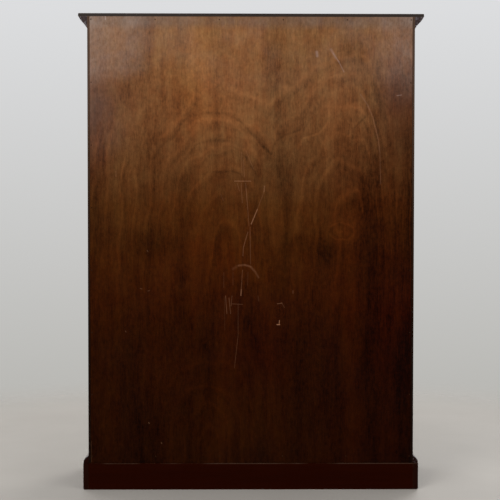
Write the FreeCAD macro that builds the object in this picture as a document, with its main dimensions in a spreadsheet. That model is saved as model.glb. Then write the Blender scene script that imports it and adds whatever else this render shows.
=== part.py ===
import FreeCAD, Part

import math
import os
from types import SimpleNamespace

import Sketcher

# Glazed display cabinet of dark polished hardwood, seen from behind in the reference view.
# Frame: +Z up, the front faces -Y, the back faces +Y, and the origin is at the bottom centre of
# the whole object. Everything is in millimetres.

# Driving dimensions. Each one is written once, and everything else is worked out from them.
DRIVING = {
    # Carcass
    "overall_height": 1480,
    "carcass_width": 1014,
    "carcass_depth": 330,
    "side_thick": 19,
    "board_thick": 19,
    "housing_depth": 6,
    "back_thick": 6,
    "back_recess": 1,
    "back_rebate": 12.5,
    "back_clearance": 0.5,
    # Face frame
    "frame_thick": 20,
    "front_stile_width": 40,
    "frieze_height": 66,
    "bottom_rail_height": 73,
    "bottom_lip": 4,
    # Cornice
    "cap_thick": 9,
    "cap_overhang": 28,
    "cap_round": 3,
    "cornice_height": 38,
    "cornice_set_back": 1,
    "cornice_ogee": 50,
    # Plinth
    "plinth_height": 82,
    "plinth_thick": 16,
    "plinth_round": 5,
    "moulding_height": 27,
    "moulding_set_back": 1,
    "cove_reach": 5.5,
    "cove_height": 9,
    "cove_radius": 12,
    "shoulder_radius": 15,
    "rear_rail_thick": 18,
    "rear_rail_proud": 4,
    "block_leg": 22,
    "block_length": 70,
    "block_inset": 55,
    # Doors
    "door_gap": 2,
    "door_stile_width": 42,
    "door_top_rail": 42,
    "door_bottom_rail": 60,
    "ovolo": 4,
    "glass_rebate": 8,
    "glass_thick": 2.5,
    "glass_seat": 0.2,
    "glass_edge_clearance": 1.5,
    "bead_thick": 6.5,
    "bar_width": 12,
    "bar_crown": 5.5,
    "bar_fillet": 1.5,
    "rib_width": 3.2,
    "rib_depth": 7.5,
    "cope_trim": 1.5,
    "margin_pane": 75,
    # Shelves
    "shelf_thick": 18,
    "shelf_side_gap": 1.5,
    "shelf_back_gap": 1,
    "shelf_nose": 5,
    "door_clearance": 21,
    "stop_thick": 12,
    "stop_drop": 12,
    "stop_gap": 0.3,
    "stop_mortise": 18,
    "bearer_width": 12,
    "bearer_height": 15,
    "bearer_set_back": 18,
    "bearer_chamfer": 7,
    # Hinges
    "hinge_height": 60,
    "hinge_inset": 130,
    "knuckle_radius": 3.5,
    "hinge_pin_radius": 1.5,
    "running_play": 0.05,
    "leaf_thick": 1.6,
    "leaf_depth": 15,
    "leaf_gap": 0.4,
    "leaf_relief": 0.3,
    "knuckle_gap": 0.3,
    # Bolts on the left door
    "bolt_plate_width": 24,
    "bolt_plate_height": 90,
    "bolt_plate_thick": 2,
    "bolt_bar_width": 8,
    "bolt_bar_thick": 4,
    "bolt_travel": 12,
    "bolt_end_gap": 1,
    "staple_width": 14,
    "staple_height": 10,
    "staple_wall": 2,
    "thumb_radius": 4.5,
    "thumb_length": 9,
    "keeper_thick": 1.5,
    "keeper_play": 0.5,
    # Lock on the right door
    "lock_width": 30,
    "lock_height": 60,
    "lock_depth": 11,
    "lock_wall": 2,
    "lock_bolt_height": 12,
    "lock_bolt_thick": 3,
    "lock_bolt_travel": 7,
    "lock_play": 0.2,
    "lock_end_set": 0.3,
    "key_inset": 14,
    "key_drop": 10,
    "key_radius": 2,
    "key_play": 0.6,
    "bit_reach": 9,
    "bit_thick": 2.2,
    "bow_radius": 9.5,
    "bow_wire": 3.5,
    "bow_stand_off": 6,
    "plate_width": 20,
    "plate_height": 34,
    "plate_thick": 1.5,
    # Brads that hold the back
    "brad_width": 1.6,
    "brad_head_width": 3,
    "brad_head_thick": 0.6,
    "brad_length": 13,
    "brad_spacing": 200,
    "brad_edge": 5,
}

# How far a slanted bar runs past both its ends before it is cut to fit, as a part of its length
OVERRUN = 0.1

NODES = []

doc = FreeCAD.newDocument("display_cabinet")
sheet = doc.addObject("Spreadsheet::Sheet", "sizes")


class Size:
    """A number together with the sheet expression that gives it."""

    def __init__(self, value, text):
        self.value = float(value)
        self.text = text

    def __add__(self, other):
        other = as_size(other)
        return Size(self.value + other.value, "(%s + %s)" % (self.text, other.text))

    def __sub__(self, other):
        other = as_size(other)
        return Size(self.value - other.value, "(%s - %s)" % (self.text, other.text))

    def __mul__(self, other):
        other = as_size(other)
        return Size(self.value * other.value, "(%s * %s)" % (self.text, other.text))

    def __truediv__(self, other):
        other = as_size(other)
        return Size(self.value / other.value, "(%s / %s)" % (self.text, other.text))

    def __neg__(self):
        return Size(-self.value, "(-%s)" % self.text)


def as_size(value):
    if isinstance(value, Size):
        return value
    return Size(value, "(%s)" % value if value < 0 else "%s" % value)


def root_of_squares(a, b):
    text = "sqrt(%s * %s + %s * %s)" % (a.text, a.text, b.text, b.text)
    return Size(math.hypot(a.value, b.value), text)


def write_cell(name, content):
    """Put one named size in the next row of the sheet."""
    write_cell.row += 1
    sheet.set("A%d" % write_cell.row, name)
    sheet.set("B%d" % write_cell.row, content)
    sheet.setAlias("B%d" % write_cell.row, name)


write_cell.row = 0


def derive(name, size):
    """Keep a worked-out size in the sheet under its own name."""
    write_cell(name, "=" + size.text.replace("sizes.", ""))
    return Size(size.value, "sizes." + name)


def load_sizes():
    sizes = {}
    for name, number in DRIVING.items():
        write_cell(name, str(number))
        sizes[name] = Size(number, "sizes." + name)
    return SimpleNamespace(**sizes)


S = load_sizes()
ZERO = as_size(0)

# Main planes, worked out from the driving dimensions
half_depth = (S.carcass_depth + S.cap_overhang + S.rear_rail_proud) / 2
FRONT = derive("front_plane", S.cap_overhang - half_depth)
REAR = derive("rear_plane", FRONT + S.carcass_depth)
HALF = derive("half_width", S.carcass_width / 2)
INSIDE = derive("inside_half", HALF - S.side_thick)
FRAME_BACK = derive("frame_back", FRONT + S.frame_thick)
BACK_SEAT = derive("back_seat", REAR - S.back_recess - S.back_thick)
CAP_LOW = derive("cap_low", S.overall_height - S.cap_thick)
TOP_LOW = derive("top_board_low", CAP_LOW - S.board_thick)
MOULDING_TOP = derive("moulding_top", S.plinth_height + S.moulding_height)
BOTTOM_LEVEL = derive("bottom_level", MOULDING_TOP + S.bottom_lip)
OPEN_HALF = derive("open_half", HALF - S.front_stile_width)
OPEN_TOP = derive("open_top", CAP_LOW - S.frieze_height)

# Door planes. The left door is modelled, and the right one mirrors it.
DOOR_OUTER = derive("door_outer", S.door_gap - OPEN_HALF)
DOOR_INNER = derive("door_inner", -S.door_gap / 2)
DOOR_LOW = derive("door_low", BOTTOM_LEVEL + S.door_gap)
DOOR_HIGH = derive("door_high", OPEN_TOP - S.door_gap)
DOOR_MIDDLE = derive("door_middle", (DOOR_LOW + DOOR_HIGH) / 2)
SIGHT_OUTER = derive("sight_outer", DOOR_OUTER + S.door_stile_width)
SIGHT_INNER = derive("sight_inner", DOOR_INNER - S.door_stile_width)
SIGHT_LOW = derive("sight_low", DOOR_LOW + S.door_bottom_rail)
SIGHT_HIGH = derive("sight_high", DOOR_HIGH - S.door_top_rail)
SIGHT_MIDDLE = derive("sight_middle", (SIGHT_OUTER + SIGHT_INNER) / 2)
BAR_FRONT = derive("bar_front", FRONT + S.ovolo)
REBATE_FRONT = derive("rebate_front", BAR_FRONT + S.bar_crown)
GLASS_FRONT = derive("glass_front", REBATE_FRONT + S.glass_seat)
GLASS_BACK = derive("glass_back", GLASS_FRONT + S.glass_thick)

# The round nose of the glazing bars, from its half width and its height
NOSE_HALF = derive("nose_half", S.bar_width / 2 - S.bar_fillet)
NOSE_HIGH = derive("nose_high", S.bar_crown - S.bar_fillet)
NOSE_RADIUS = derive("nose_radius", (NOSE_HALF * NOSE_HALF + NOSE_HIGH * NOSE_HIGH) / (NOSE_HIGH * 2))

# Shelf levels: the bars of the doors line up with the middles of the shelves
BAY = derive("bay", (TOP_LOW - BOTTOM_LEVEL) / 4)
SHELF_LEVELS = [
    derive("level_lower", BOTTOM_LEVEL + BAY),
    derive("level_middle", BOTTOM_LEVEL + BAY * 2),
    derive("level_upper", BOTTOM_LEVEL + BAY * 3),
]
SHELF_FRONT = derive("shelf_front", FRAME_BACK + S.door_clearance)
SHELF_BACK = derive("shelf_back", BACK_SEAT - S.shelf_back_gap)

# Hinge axis, half-way across the gap and one knuckle in front of the doors
HINGE_X = derive("hinge_x", DOOR_OUTER - S.door_gap / 2)
HINGE_Y = derive("hinge_y", FRONT - S.knuckle_radius)
HINGE_LEVELS = [
    derive("hinge_lower", DOOR_LOW + S.hinge_inset),
    derive("hinge_upper", DOOR_HIGH - S.hinge_inset),
]

# Flat bars of the two bolts, sliding on their plates
BOLT_X = derive("bolt_x", (DOOR_INNER + SIGHT_INNER + S.glass_rebate) / 2)
BAR_LOW_Y = derive("bar_low_y", FRAME_BACK + S.bolt_plate_thick + S.running_play)
BAR_HIGH_Y = derive("bar_high_y", BAR_LOW_Y + S.bolt_bar_thick)

# Lock
LOCK_X = derive("lock_x", S.door_gap / 2)
LOCK_BACK = FRAME_BACK
LOCK_FRONT = derive("lock_front", FRAME_BACK - S.lock_depth)
LOCK_LOW = derive("lock_low", DOOR_MIDDLE - S.lock_height / 2)
KEY_X = derive("key_x", LOCK_X + S.key_inset)
KEY_Z = derive("key_z", DOOR_MIDDLE - S.key_drop)
LOCK_BOLT_LOW = derive("lock_bolt_low", KEY_Z + S.bit_reach - S.key_radius)
LOCK_BOLT_Y = derive("lock_bolt_y", LOCK_FRONT + S.lock_depth / 2)


# Helpers for primitives and booleans


def bind(piece, name, size):
    piece.setExpression(name, as_size(size).text)


def place(piece, x, y, z):
    bind(piece, "Placement.Base.x", x)
    bind(piece, "Placement.Base.y", y)
    bind(piece, "Placement.Base.z", z)


def turn(piece, axis, angle_text, degrees):
    """Turn a piece about a fixed axis by an angle that the sheet may drive."""
    piece.Placement = FreeCAD.Placement(FreeCAD.Vector(), FreeCAD.Rotation(FreeCAD.Vector(*axis), degrees))
    piece.setExpression("Placement.Rotation.Angle", angle_text)


def block(name, x, y, z):
    """A box between two places on each axis."""
    piece = doc.addObject("Part::Box", name)
    bind(piece, "Length", x[1] - x[0])
    bind(piece, "Width", y[1] - y[0])
    bind(piece, "Height", z[1] - z[0])
    place(piece, x[0], y[0], z[0])
    return piece


def round_bar(name, radius, length, start, axis):
    """A cylinder from a start point along +X, -X, +Y, -Y or +Z."""
    turns = {
        "+X": ((0, 1, 0), 90),
        "-X": ((0, 1, 0), -90),
        "+Y": ((1, 0, 0), -90),
        "-Y": ((1, 0, 0), 90),
        "+Z": ((0, 0, 1), 0),
    }
    about, degrees = turns[axis]
    piece = doc.addObject("Part::Cylinder", name)
    bind(piece, "Radius", radius)
    bind(piece, "Height", length)
    piece.Placement = FreeCAD.Placement(FreeCAD.Vector(), FreeCAD.Rotation(FreeCAD.Vector(*about), degrees))
    place(piece, *start)
    return piece


def fuse(name, pieces):
    piece = doc.addObject("Part::MultiFuse", name)
    piece.Shapes = pieces
    return piece


def cut(name, base, tools):
    tool = tools[0] if len(tools) == 1 else fuse(name + "_waste", tools)
    piece = doc.addObject("Part::Cut", name)
    piece.Base = base
    piece.Tool = tool
    return piece


def group(name, pieces):
    piece = doc.addObject("Part::Compound", name)
    piece.Links = pieces
    return piece


def mirrored(name, source):
    """The same piece on the other side of the middle plane."""
    piece = doc.addObject("Part::Mirroring", name)
    piece.Source = source
    piece.Normal = FreeCAD.Vector(1, 0, 0)
    return piece


def node(piece, name):
    piece.Label = name
    NODES.append(piece)
    return piece


# Helpers for sketched pieces


def new_body(name):
    return doc.addObject("PartDesign::Body", name)


def new_sketch(body, role):
    sketch = body.newObject("Sketcher::SketchObject", body.Name + "_sketch")
    plane = [feature for feature in body.Origin.OriginFeatures if feature.Role == role][0]
    sketch.AttachmentSupport = [(plane, "")]
    sketch.MapMode = "FlatFace"
    return sketch


def arc_between(start, end, radius, side):
    """An arc of one radius from start to end, turning left (side 1) or right (side -1)."""
    chord = end - start
    reach = chord.Length / 2
    height = math.sqrt(max(radius * radius - reach * reach, 0))
    normal = FreeCAD.Vector(-chord.y, chord.x, 0).normalize()
    centre = start + chord / 2 + normal * (side * height)
    first, last = (start, end) if side > 0 else (end, start)
    angles = [math.atan2(point.y - centre.y, point.x - centre.x) for point in (first, last)]
    if angles[1] < angles[0]:
        angles[1] += 2 * math.pi
    circle = Part.Circle(centre, FreeCAD.Vector(0, 0, 1), radius)
    return Part.ArcOfCircle(circle, angles[0], angles[1])


def outline(sketch, corners):
    """Draw a closed outline. A corner is (u, v), or (u, v, radius, side) after an arc."""
    first = sketch.GeometryCount
    points = [FreeCAD.Vector(as_size(c[0]).value, as_size(c[1]).value, 0) for c in corners]
    count = len(corners)
    starts = []
    ends = []
    radii = []
    for index in range(count):
        following = (index + 1) % count
        arrival = corners[following]
        if len(arrival) == 2:
            sketch.addGeometry(Part.LineSegment(points[index], points[following]))
            starts.append(1)
            ends.append(2)
        else:
            arc = arc_between(points[index], points[following], arrival[2].value, arrival[3])
            sketch.addGeometry(arc)
            starts.append(1 if arrival[3] > 0 else 2)
            ends.append(2 if arrival[3] > 0 else 1)
            radii.append((first + index, arrival[2]))
    for index in range(count):
        following = (index + 1) % count
        ends_meet = Sketcher.Constraint(
            "Coincident", first + index, ends[index], first + following, starts[following]
        )
        sketch.addConstraint(ends_meet)
    for index, corner in enumerate(corners):
        for kind, coordinate in (("DistanceX", corner[0]), ("DistanceY", corner[1])):
            coordinate = as_size(coordinate)
            constraint = Sketcher.Constraint(
                kind, -1, 1, first + index, starts[index], coordinate.value
            )
            number = sketch.addConstraint(constraint)
            sketch.setExpression("Constraints[%d]" % number, coordinate.text)
    for geometry, radius in radii:
        number = sketch.addConstraint(Sketcher.Constraint("Radius", geometry, radius.value))
        sketch.setExpression("Constraints[%d]" % number, radius.text)


def pad(body, sketch, length, symmetric=False, backwards=False):
    feature = body.newObject("PartDesign::Pad", body.Name + "_pad")
    feature.Profile = sketch
    feature.Midplane = symmetric
    feature.Reversed = backwards
    bind(feature, "Length", length)
    body.Tip = feature
    return feature


def cut_through(body, role, outlines):
    """Cut closed outlines right through a body, both ways from one of its planes."""
    sketch = new_sketch(body, role)
    for corners in outlines:
        outline(sketch, corners)
    feature = body.newObject("PartDesign::Pocket", body.Name + "_pocket")
    feature.Profile = sketch
    feature.Type = "ThroughAll"
    feature.Midplane = True
    body.Tip = feature
    return feature


def extruded(name, role, corners, start, length):
    """A body with one outline, drawn in place and pulled along +X, +Y or +Z from its start."""
    body = new_body(name)
    sketch = new_sketch(body, role)
    outline(sketch, corners)
    pad(body, sketch, length, backwards=(role == "XZ_Plane"))
    along = {"YZ_Plane": "x", "XZ_Plane": "y", "XY_Plane": "z"}[role]
    bind(body, "Placement.Base." + along, start)
    return body


def edges_where(shape, test):
    return ["Edge%d" % (i + 1) for i, edge in enumerate(shape.Edges) if test(edge)]


# Carcass


def side_board():
    """A side: rebated for the back, notched for the rear rail and housed for both boards."""
    blank = block("side_blank", (-HALF, -INSIDE), (FRAME_BACK, REAR), (ZERO, CAP_LOW))
    waste = [
        block(
            "side_rebate",
            (-INSIDE - S.back_rebate, -INSIDE),
            (BACK_SEAT, REAR),
            (S.plinth_height, CAP_LOW),
        ),
        block(
            "side_rail_notch",
            (-HALF, -INSIDE),
            (REAR + S.rear_rail_proud - S.rear_rail_thick, REAR),
            (ZERO, S.plinth_height),
        ),
    ]
    for name, low in (("bottom", BOTTOM_LEVEL - S.board_thick), ("top", TOP_LOW)):
        waste.append(
            block(
                "side_housing_" + name,
                (-INSIDE - S.housing_depth, -INSIDE),
                (FRAME_BACK, BACK_SEAT),
                (low, low + S.board_thick),
            )
        )
    left = node(cut("side_left", blank, waste), "side_left")
    node(mirrored("side_right", left), "side_right")


def housed_board(name, low):
    reach = INSIDE + S.housing_depth
    node(block(name, (-reach, reach), (FRAME_BACK, BACK_SEAT), (low, low + S.board_thick)), name)


def back_panel():
    reach = INSIDE + S.back_rebate - S.back_clearance
    levels = (S.plinth_height, CAP_LOW)
    node(block("back_panel", (-reach, reach), (BACK_SEAT, BACK_SEAT + S.back_thick), levels), "back_panel")


def cap_board():
    """The thin board on top, rounded on its front and side edges."""
    body = new_body("cap_board")
    sketch = new_sketch(body, "XY_Plane")
    reach = HALF + S.cap_overhang
    front = FRONT - S.cap_overhang
    outline(sketch, [(-reach, front), (reach, front), (reach, REAR), (-reach, REAR)])
    slab = pad(body, sketch, S.cap_thick)
    bind(body, "Placement.Base.z", CAP_LOW)
    doc.recompute()
    rear = REAR.value
    thick = S.cap_thick.value

    def shows(edge):
        middle = edge.CenterOfMass
        flat = abs(edge.BoundBox.ZLength) < 1e-6
        return flat and middle.y < rear - 1e-6 and middle.z > thick / 2

    fillet = body.newObject("PartDesign::Fillet", "cap_board_fillet")
    fillet.Base = (slab, edges_where(slab.Shape, shows))
    bind(fillet, "Radius", S.cap_round)
    body.Tip = fillet
    node(body, "cap_board")


def face_frame():
    front_edge = (FRONT, FRAME_BACK)
    blank = block("front_stile_blank", (-HALF, -OPEN_HALF), front_edge, (ZERO, CAP_LOW))
    recess = leaf_recesses("front_stile", -OPEN_HALF, -1)
    left = node(cut("front_stile_left", blank, recess), "front_stile_left")
    node(mirrored("front_stile_right", left), "front_stile_right")
    span = (-OPEN_HALF, OPEN_HALF)
    node(block("frieze_rail", span, front_edge, (OPEN_TOP, CAP_LOW)), "frieze_rail")
    rail_levels = (BOTTOM_LEVEL - S.bottom_rail_height, BOTTOM_LEVEL)
    node(block("front_bottom_rail", span, front_edge, rail_levels), "front_bottom_rail")


def bolt_passage(name, play, z):
    """The space that a bolt's bar takes, with some play round it."""
    half = S.bolt_bar_width / 2 + play
    return block(name, (BOLT_X - half, BOLT_X + half), (BAR_LOW_Y - play, BAR_HIGH_Y + play), z)


def stop_strips():
    """Strips behind the doors, mortised for the two bolts."""
    span = (-INSIDE, INSIDE)
    depth = (FRAME_BACK + S.stop_gap, FRAME_BACK + S.stop_gap + S.stop_thick)
    low = OPEN_TOP - S.stop_drop
    top = block("stop_top_blank", span, depth, (low, OPEN_TOP + S.stop_drop))
    mortise = bolt_passage("stop_top_mortise", S.keeper_play, (low, low + S.stop_mortise))
    node(cut("stop_strip_top", top, [mortise]), "stop_strip_top")
    levels = (BOTTOM_LEVEL, BOTTOM_LEVEL + S.stop_drop)
    bottom = block("stop_bottom_blank", span, depth, levels)
    mortise = bolt_passage("stop_bottom_mortise", S.keeper_play, levels)
    node(cut("stop_strip_bottom", bottom, [mortise]), "stop_strip_bottom")


# Cornice and plinth


def ogee(projection, height, radius, low, base):
    """A reversed cyma from the carcass face at the bottom to its projection at the top."""
    middle = (base + projection / 2, low + height / 2)
    return [
        (base, low),
        (middle[0], middle[1], radius, -1 if projection.value > 0 else 1),
        (base + projection, low + height, radius, 1 if projection.value > 0 else -1),
        (base, low + height),
    ]


def cornice():
    """Planted moulding under the cap board, mitred at the front corners."""
    projection = S.cap_overhang - S.cornice_set_back
    low = CAP_LOW - S.cornice_height
    front = new_body("cornice_front")
    sketch = new_sketch(front, "YZ_Plane")
    outline(sketch, ogee(-projection, S.cornice_height, S.cornice_ogee, low, FRONT))
    pad(front, sketch, (HALF + projection) * 2, symmetric=True)
    mitre_front(front, projection)
    node(front, "cornice_front")
    side = extruded(
        "cornice_left",
        "XZ_Plane",
        ogee(-projection, S.cornice_height, S.cornice_ogee, low, -HALF),
        FRONT - projection,
        REAR - FRONT + projection,
    )
    mitre_side(side, projection)
    node(side, "cornice_left")
    node(mirrored("cornice_right", side), "cornice_right")


def mitre_front(body, projection):
    """Cut both ends of a front moulding along the mitres."""
    outer = HALF + projection
    left = [(-outer, FRONT - projection), (-HALF, FRONT), (-outer, FRONT)]
    right = [(outer, FRONT - projection), (outer, FRONT), (HALF, FRONT)]
    cut_through(body, "XY_Plane", [left, right])


def mitre_side(body, projection):
    """Cut the front end of a left side moulding along its mitre, in the body's own frame."""
    cut_through(body, "XY_Plane", [[(-HALF - projection, ZERO), (-HALF, ZERO), (-HALF, projection)]])


def plinth_section(base, outwards):
    """A plain plinth board with its bottom outer edge rounded."""
    outer = base + S.plinth_thick * outwards
    eased = outer - S.plinth_round * outwards
    return [
        (base, ZERO),
        (eased, ZERO),
        (outer, S.plinth_round, S.plinth_round, outwards),
        (outer, S.plinth_height),
        (base, S.plinth_height),
    ]


def plinth():
    """Plinth boards planted round the foot of the carcass, and their rear rail."""
    front = new_body("plinth_front")
    sketch = new_sketch(front, "YZ_Plane")
    outline(sketch, plinth_section(FRONT, -1))
    pad(front, sketch, (HALF + S.plinth_thick) * 2, symmetric=True)
    mitre_front(front, S.plinth_thick)
    node(front, "plinth_front")
    side = extruded(
        "plinth_left",
        "XZ_Plane",
        plinth_section(-HALF, -1),
        FRONT - S.plinth_thick,
        REAR + S.rear_rail_proud - FRONT + S.plinth_thick,
    )
    mitre_side(side, S.plinth_thick)
    node(side, "plinth_left")
    node(mirrored("plinth_right", side), "plinth_right")
    rail_back = REAR + S.rear_rail_proud
    rail_depth = (rail_back - S.rear_rail_thick, rail_back)
    node(block("plinth_rear_rail", (-HALF, HALF), rail_depth, (ZERO, S.plinth_height)), "plinth_rear_rail")


def plinth_moulding():
    """Ogee moulding on top of the plinth boards."""
    projection = S.plinth_thick - S.moulding_set_back
    front = new_body("plinth_moulding_front")
    sketch = new_sketch(front, "YZ_Plane")
    outline(sketch, foot_ogee(FRONT, projection))
    pad(front, sketch, (HALF + projection) * 2, symmetric=True)
    mitre_front(front, projection)
    node(front, "plinth_moulding_front")
    side = extruded(
        "plinth_moulding_left",
        "XZ_Plane",
        foot_ogee(-HALF, projection),
        FRONT - projection,
        REAR - FRONT + projection,
    )
    mitre_side(side, projection)
    node(side, "plinth_moulding_left")
    node(mirrored("plinth_moulding_right", side), "plinth_moulding_right")


def foot_ogee(base, projection):
    """A small cove next to the carcass, then a round shoulder down to the plinth's face."""
    return [
        (base, MOULDING_TOP),
        (base - S.cove_reach, MOULDING_TOP - S.cove_height, S.cove_radius, -1),
        (base - projection, S.plinth_height, S.shoulder_radius, 1),
        (base, S.plinth_height),
    ]


def glue_blocks():
    """Triangular blocks under the bottom board, two to each side."""
    under = BOTTOM_LEVEL - S.board_thick
    inner = FRAME_BACK + S.block_inset
    outer = BACK_SEAT - S.block_inset - S.block_length
    left = []
    for place_name, start in (("front", inner), ("rear", outer)):
        left.append(
            extruded(
                "glue_block_" + place_name,
                "XZ_Plane",
                [(-INSIDE, under), (-INSIDE, under - S.block_leg), (-INSIDE + S.block_leg, under)],
                start,
                S.block_length,
            )
        )
    right = [mirrored(piece.Name + "_right", piece) for piece in left]
    node(group("glue_blocks", left + right), "glue_blocks")


def brad_places():
    """Places round the edge of the back, over the sides and the two boards."""
    reach = INSIDE + S.back_rebate - S.brad_edge
    low = BOTTOM_LEVEL - S.board_thick / 2
    high = CAP_LOW - S.board_thick / 2
    rows = int((high.value - low.value) // S.brad_spacing.value) + 1
    columns = int(2 * reach.value // S.brad_spacing.value) + 1
    places = []
    for step in range(rows + 1):
        level = low + (high - low) * (step / rows)
        places += [(-reach, level), (reach, level)]
    for step in range(1, columns):
        x = reach * (2 * step / columns - 1)
        places += [(x, low), (x, high)]
    return places


def back_brads():
    """Square cut brads with flat heads."""
    face = BACK_SEAT + S.back_thick
    brads = []
    for index, (x, z) in enumerate(brad_places()):
        solids = []
        head = (face, face + S.brad_head_thick)
        shank = (face - S.brad_length, face)
        for name, width, depth in (("head", S.brad_head_width, head), ("shank", S.brad_width, shank)):
            half = width / 2
            part_name = "brad_%s_%d" % (name, index)
            solids.append(block(part_name, (x - half, x + half), depth, (z - half, z + half)))
        brads.append(fuse("brad_%d" % index, solids))
    node(group("back_panel_brads", brads), "back_panel_brads")


# Shelves


def shelves():
    """Three loose shelves with a thumb-moulded front edge."""
    reach = INSIDE - S.shelf_side_gap
    half = S.shelf_thick / 2
    for name, level in zip(("shelf_lower", "shelf_middle", "shelf_upper"), SHELF_LEVELS):
        corners = [
            (SHELF_FRONT, level - half + S.shelf_nose),
            (SHELF_FRONT + S.shelf_nose, level - half, S.shelf_nose, 1),
            (SHELF_BACK, level - half),
            (SHELF_BACK, level + half),
            (SHELF_FRONT + S.shelf_nose, level + half),
            (SHELF_FRONT, level + half - S.shelf_nose, S.shelf_nose, 1),
        ]
        node(extruded(name, "YZ_Plane", corners, -reach, reach * 2), name)


def shelf_bearers():
    """Wooden strips on the sides, one under each end of each shelf, cut away at the front."""
    start = SHELF_FRONT + S.bearer_set_back
    outer = -INSIDE
    inner = outer + S.bearer_width
    left = []
    for index, level in enumerate(SHELF_LEVELS):
        top = level - S.shelf_thick / 2
        low = top - S.bearer_height
        corners = [
            (start, top),
            (start, low + S.bearer_chamfer),
            (start + S.bearer_chamfer, low),
            (SHELF_BACK, low),
            (SHELF_BACK, top),
        ]
        left.append(extruded("bearer_%d" % index, "YZ_Plane", corners, outer, inner - outer))
    right = [mirrored(piece.Name + "_right", piece) for piece in left]
    node(group("shelf_bearers", left + right), "shelf_bearers")


# Hinges


def leaf_recesses(name, edge, side):
    """Shallow recesses for the hinge leaves in an edge that faces the hinge line."""
    depth = S.leaf_gap / 2 + S.leaf_thick - S.door_gap / 2
    reach = (edge, edge + depth) if side > 0 else (edge - depth, edge)
    recesses = []
    for index, level in enumerate(HINGE_LEVELS):
        recesses.append(
            block(
                "%s_recess_%d" % (name, index),
                reach,
                (FRONT, FRONT + S.leaf_depth),
                (level - S.hinge_height / 2, level + S.hinge_height / 2),
            )
        )
    return recesses


def hinge_leaf(name, level, side, knuckles):
    """A leaf on one side of the hinge line, with its knuckles at the given thirds."""
    low = level - S.hinge_height / 2
    third = S.hinge_height / 3
    inner = S.leaf_gap / 2
    if side > 0:
        reach = (HINGE_X + inner, HINGE_X + inner + S.leaf_thick)
    else:
        reach = (HINGE_X - inner - S.leaf_thick, HINGE_X - inner)
    start = HINGE_Y + S.knuckle_radius + S.leaf_relief
    solids = [block(name + "_plate", reach, (start, FRONT + S.leaf_depth), (low, low + S.hinge_height))]
    bores = []
    for index in knuckles:
        bottom = low + third * index
        if index > 0:
            bottom = bottom + S.knuckle_gap / 2
        top = low + third * (index + 1)
        if index < 2:
            top = top - S.knuckle_gap / 2
        part_name = "%s_%d" % (name, index)
        base = (HINGE_X, HINGE_Y, bottom)
        solids.append(round_bar(part_name + "_knuckle", S.knuckle_radius, top - bottom, base, "+Z"))
        solids.append(block(part_name + "_tab", reach, (HINGE_Y, start), (bottom, top)))
        bore = S.hinge_pin_radius + S.running_play
        bores.append(round_bar(part_name + "_bore", bore, top - bottom, base, "+Z"))
    return cut(name, fuse(name + "_solid", solids), bores)


def hinge_pin(name, level):
    """The pin of a hinge, as long as its three knuckles."""
    base = (HINGE_X, HINGE_Y, level - S.hinge_height / 2)
    return round_bar(name, S.hinge_pin_radius, S.hinge_height, base, "+Z")


def hinges():
    frame_leaves = []
    door_leaves = []
    pins = []
    for index, level in enumerate(HINGE_LEVELS):
        frame_leaves.append(hinge_leaf("frame_leaf_%d" % index, level, -1, (0, 2)))
        door_leaves.append(hinge_leaf("door_leaf_%d" % index, level, 1, (1,)))
        pins.append(hinge_pin("hinge_pin_%d" % index, level))
    for name, pieces in (("frame_leaves", frame_leaves), ("door_leaves", door_leaves), ("hinge_pins", pins)):
        left = node(group("left_" + name, pieces), "left_" + name)
        node(mirrored("right_" + name, left), "right_" + name)


# Doors


def member_section(outer, width, inwards):
    """A door member across its length: ovolo at the front, glass rebate at the back."""
    sight = outer + width * inwards
    lip = sight - S.ovolo * inwards
    rebate = sight - S.glass_rebate * inwards
    return [
        (outer, FRONT),
        (lip, FRONT),
        (sight, BAR_FRONT, S.ovolo, inwards),
        (sight, REBATE_FRONT),
        (rebate, REBATE_FRONT),
        (rebate, FRAME_BACK),
        (outer, FRAME_BACK),
    ]


def swap(corners):
    """The same outline with its two coordinates exchanged, which turns its arcs round."""
    swapped = []
    for corner in corners:
        if len(corner) == 2:
            swapped.append((corner[1], corner[0]))
        else:
            swapped.append((corner[1], corner[0], corner[2], -corner[3]))
    return swapped


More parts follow.
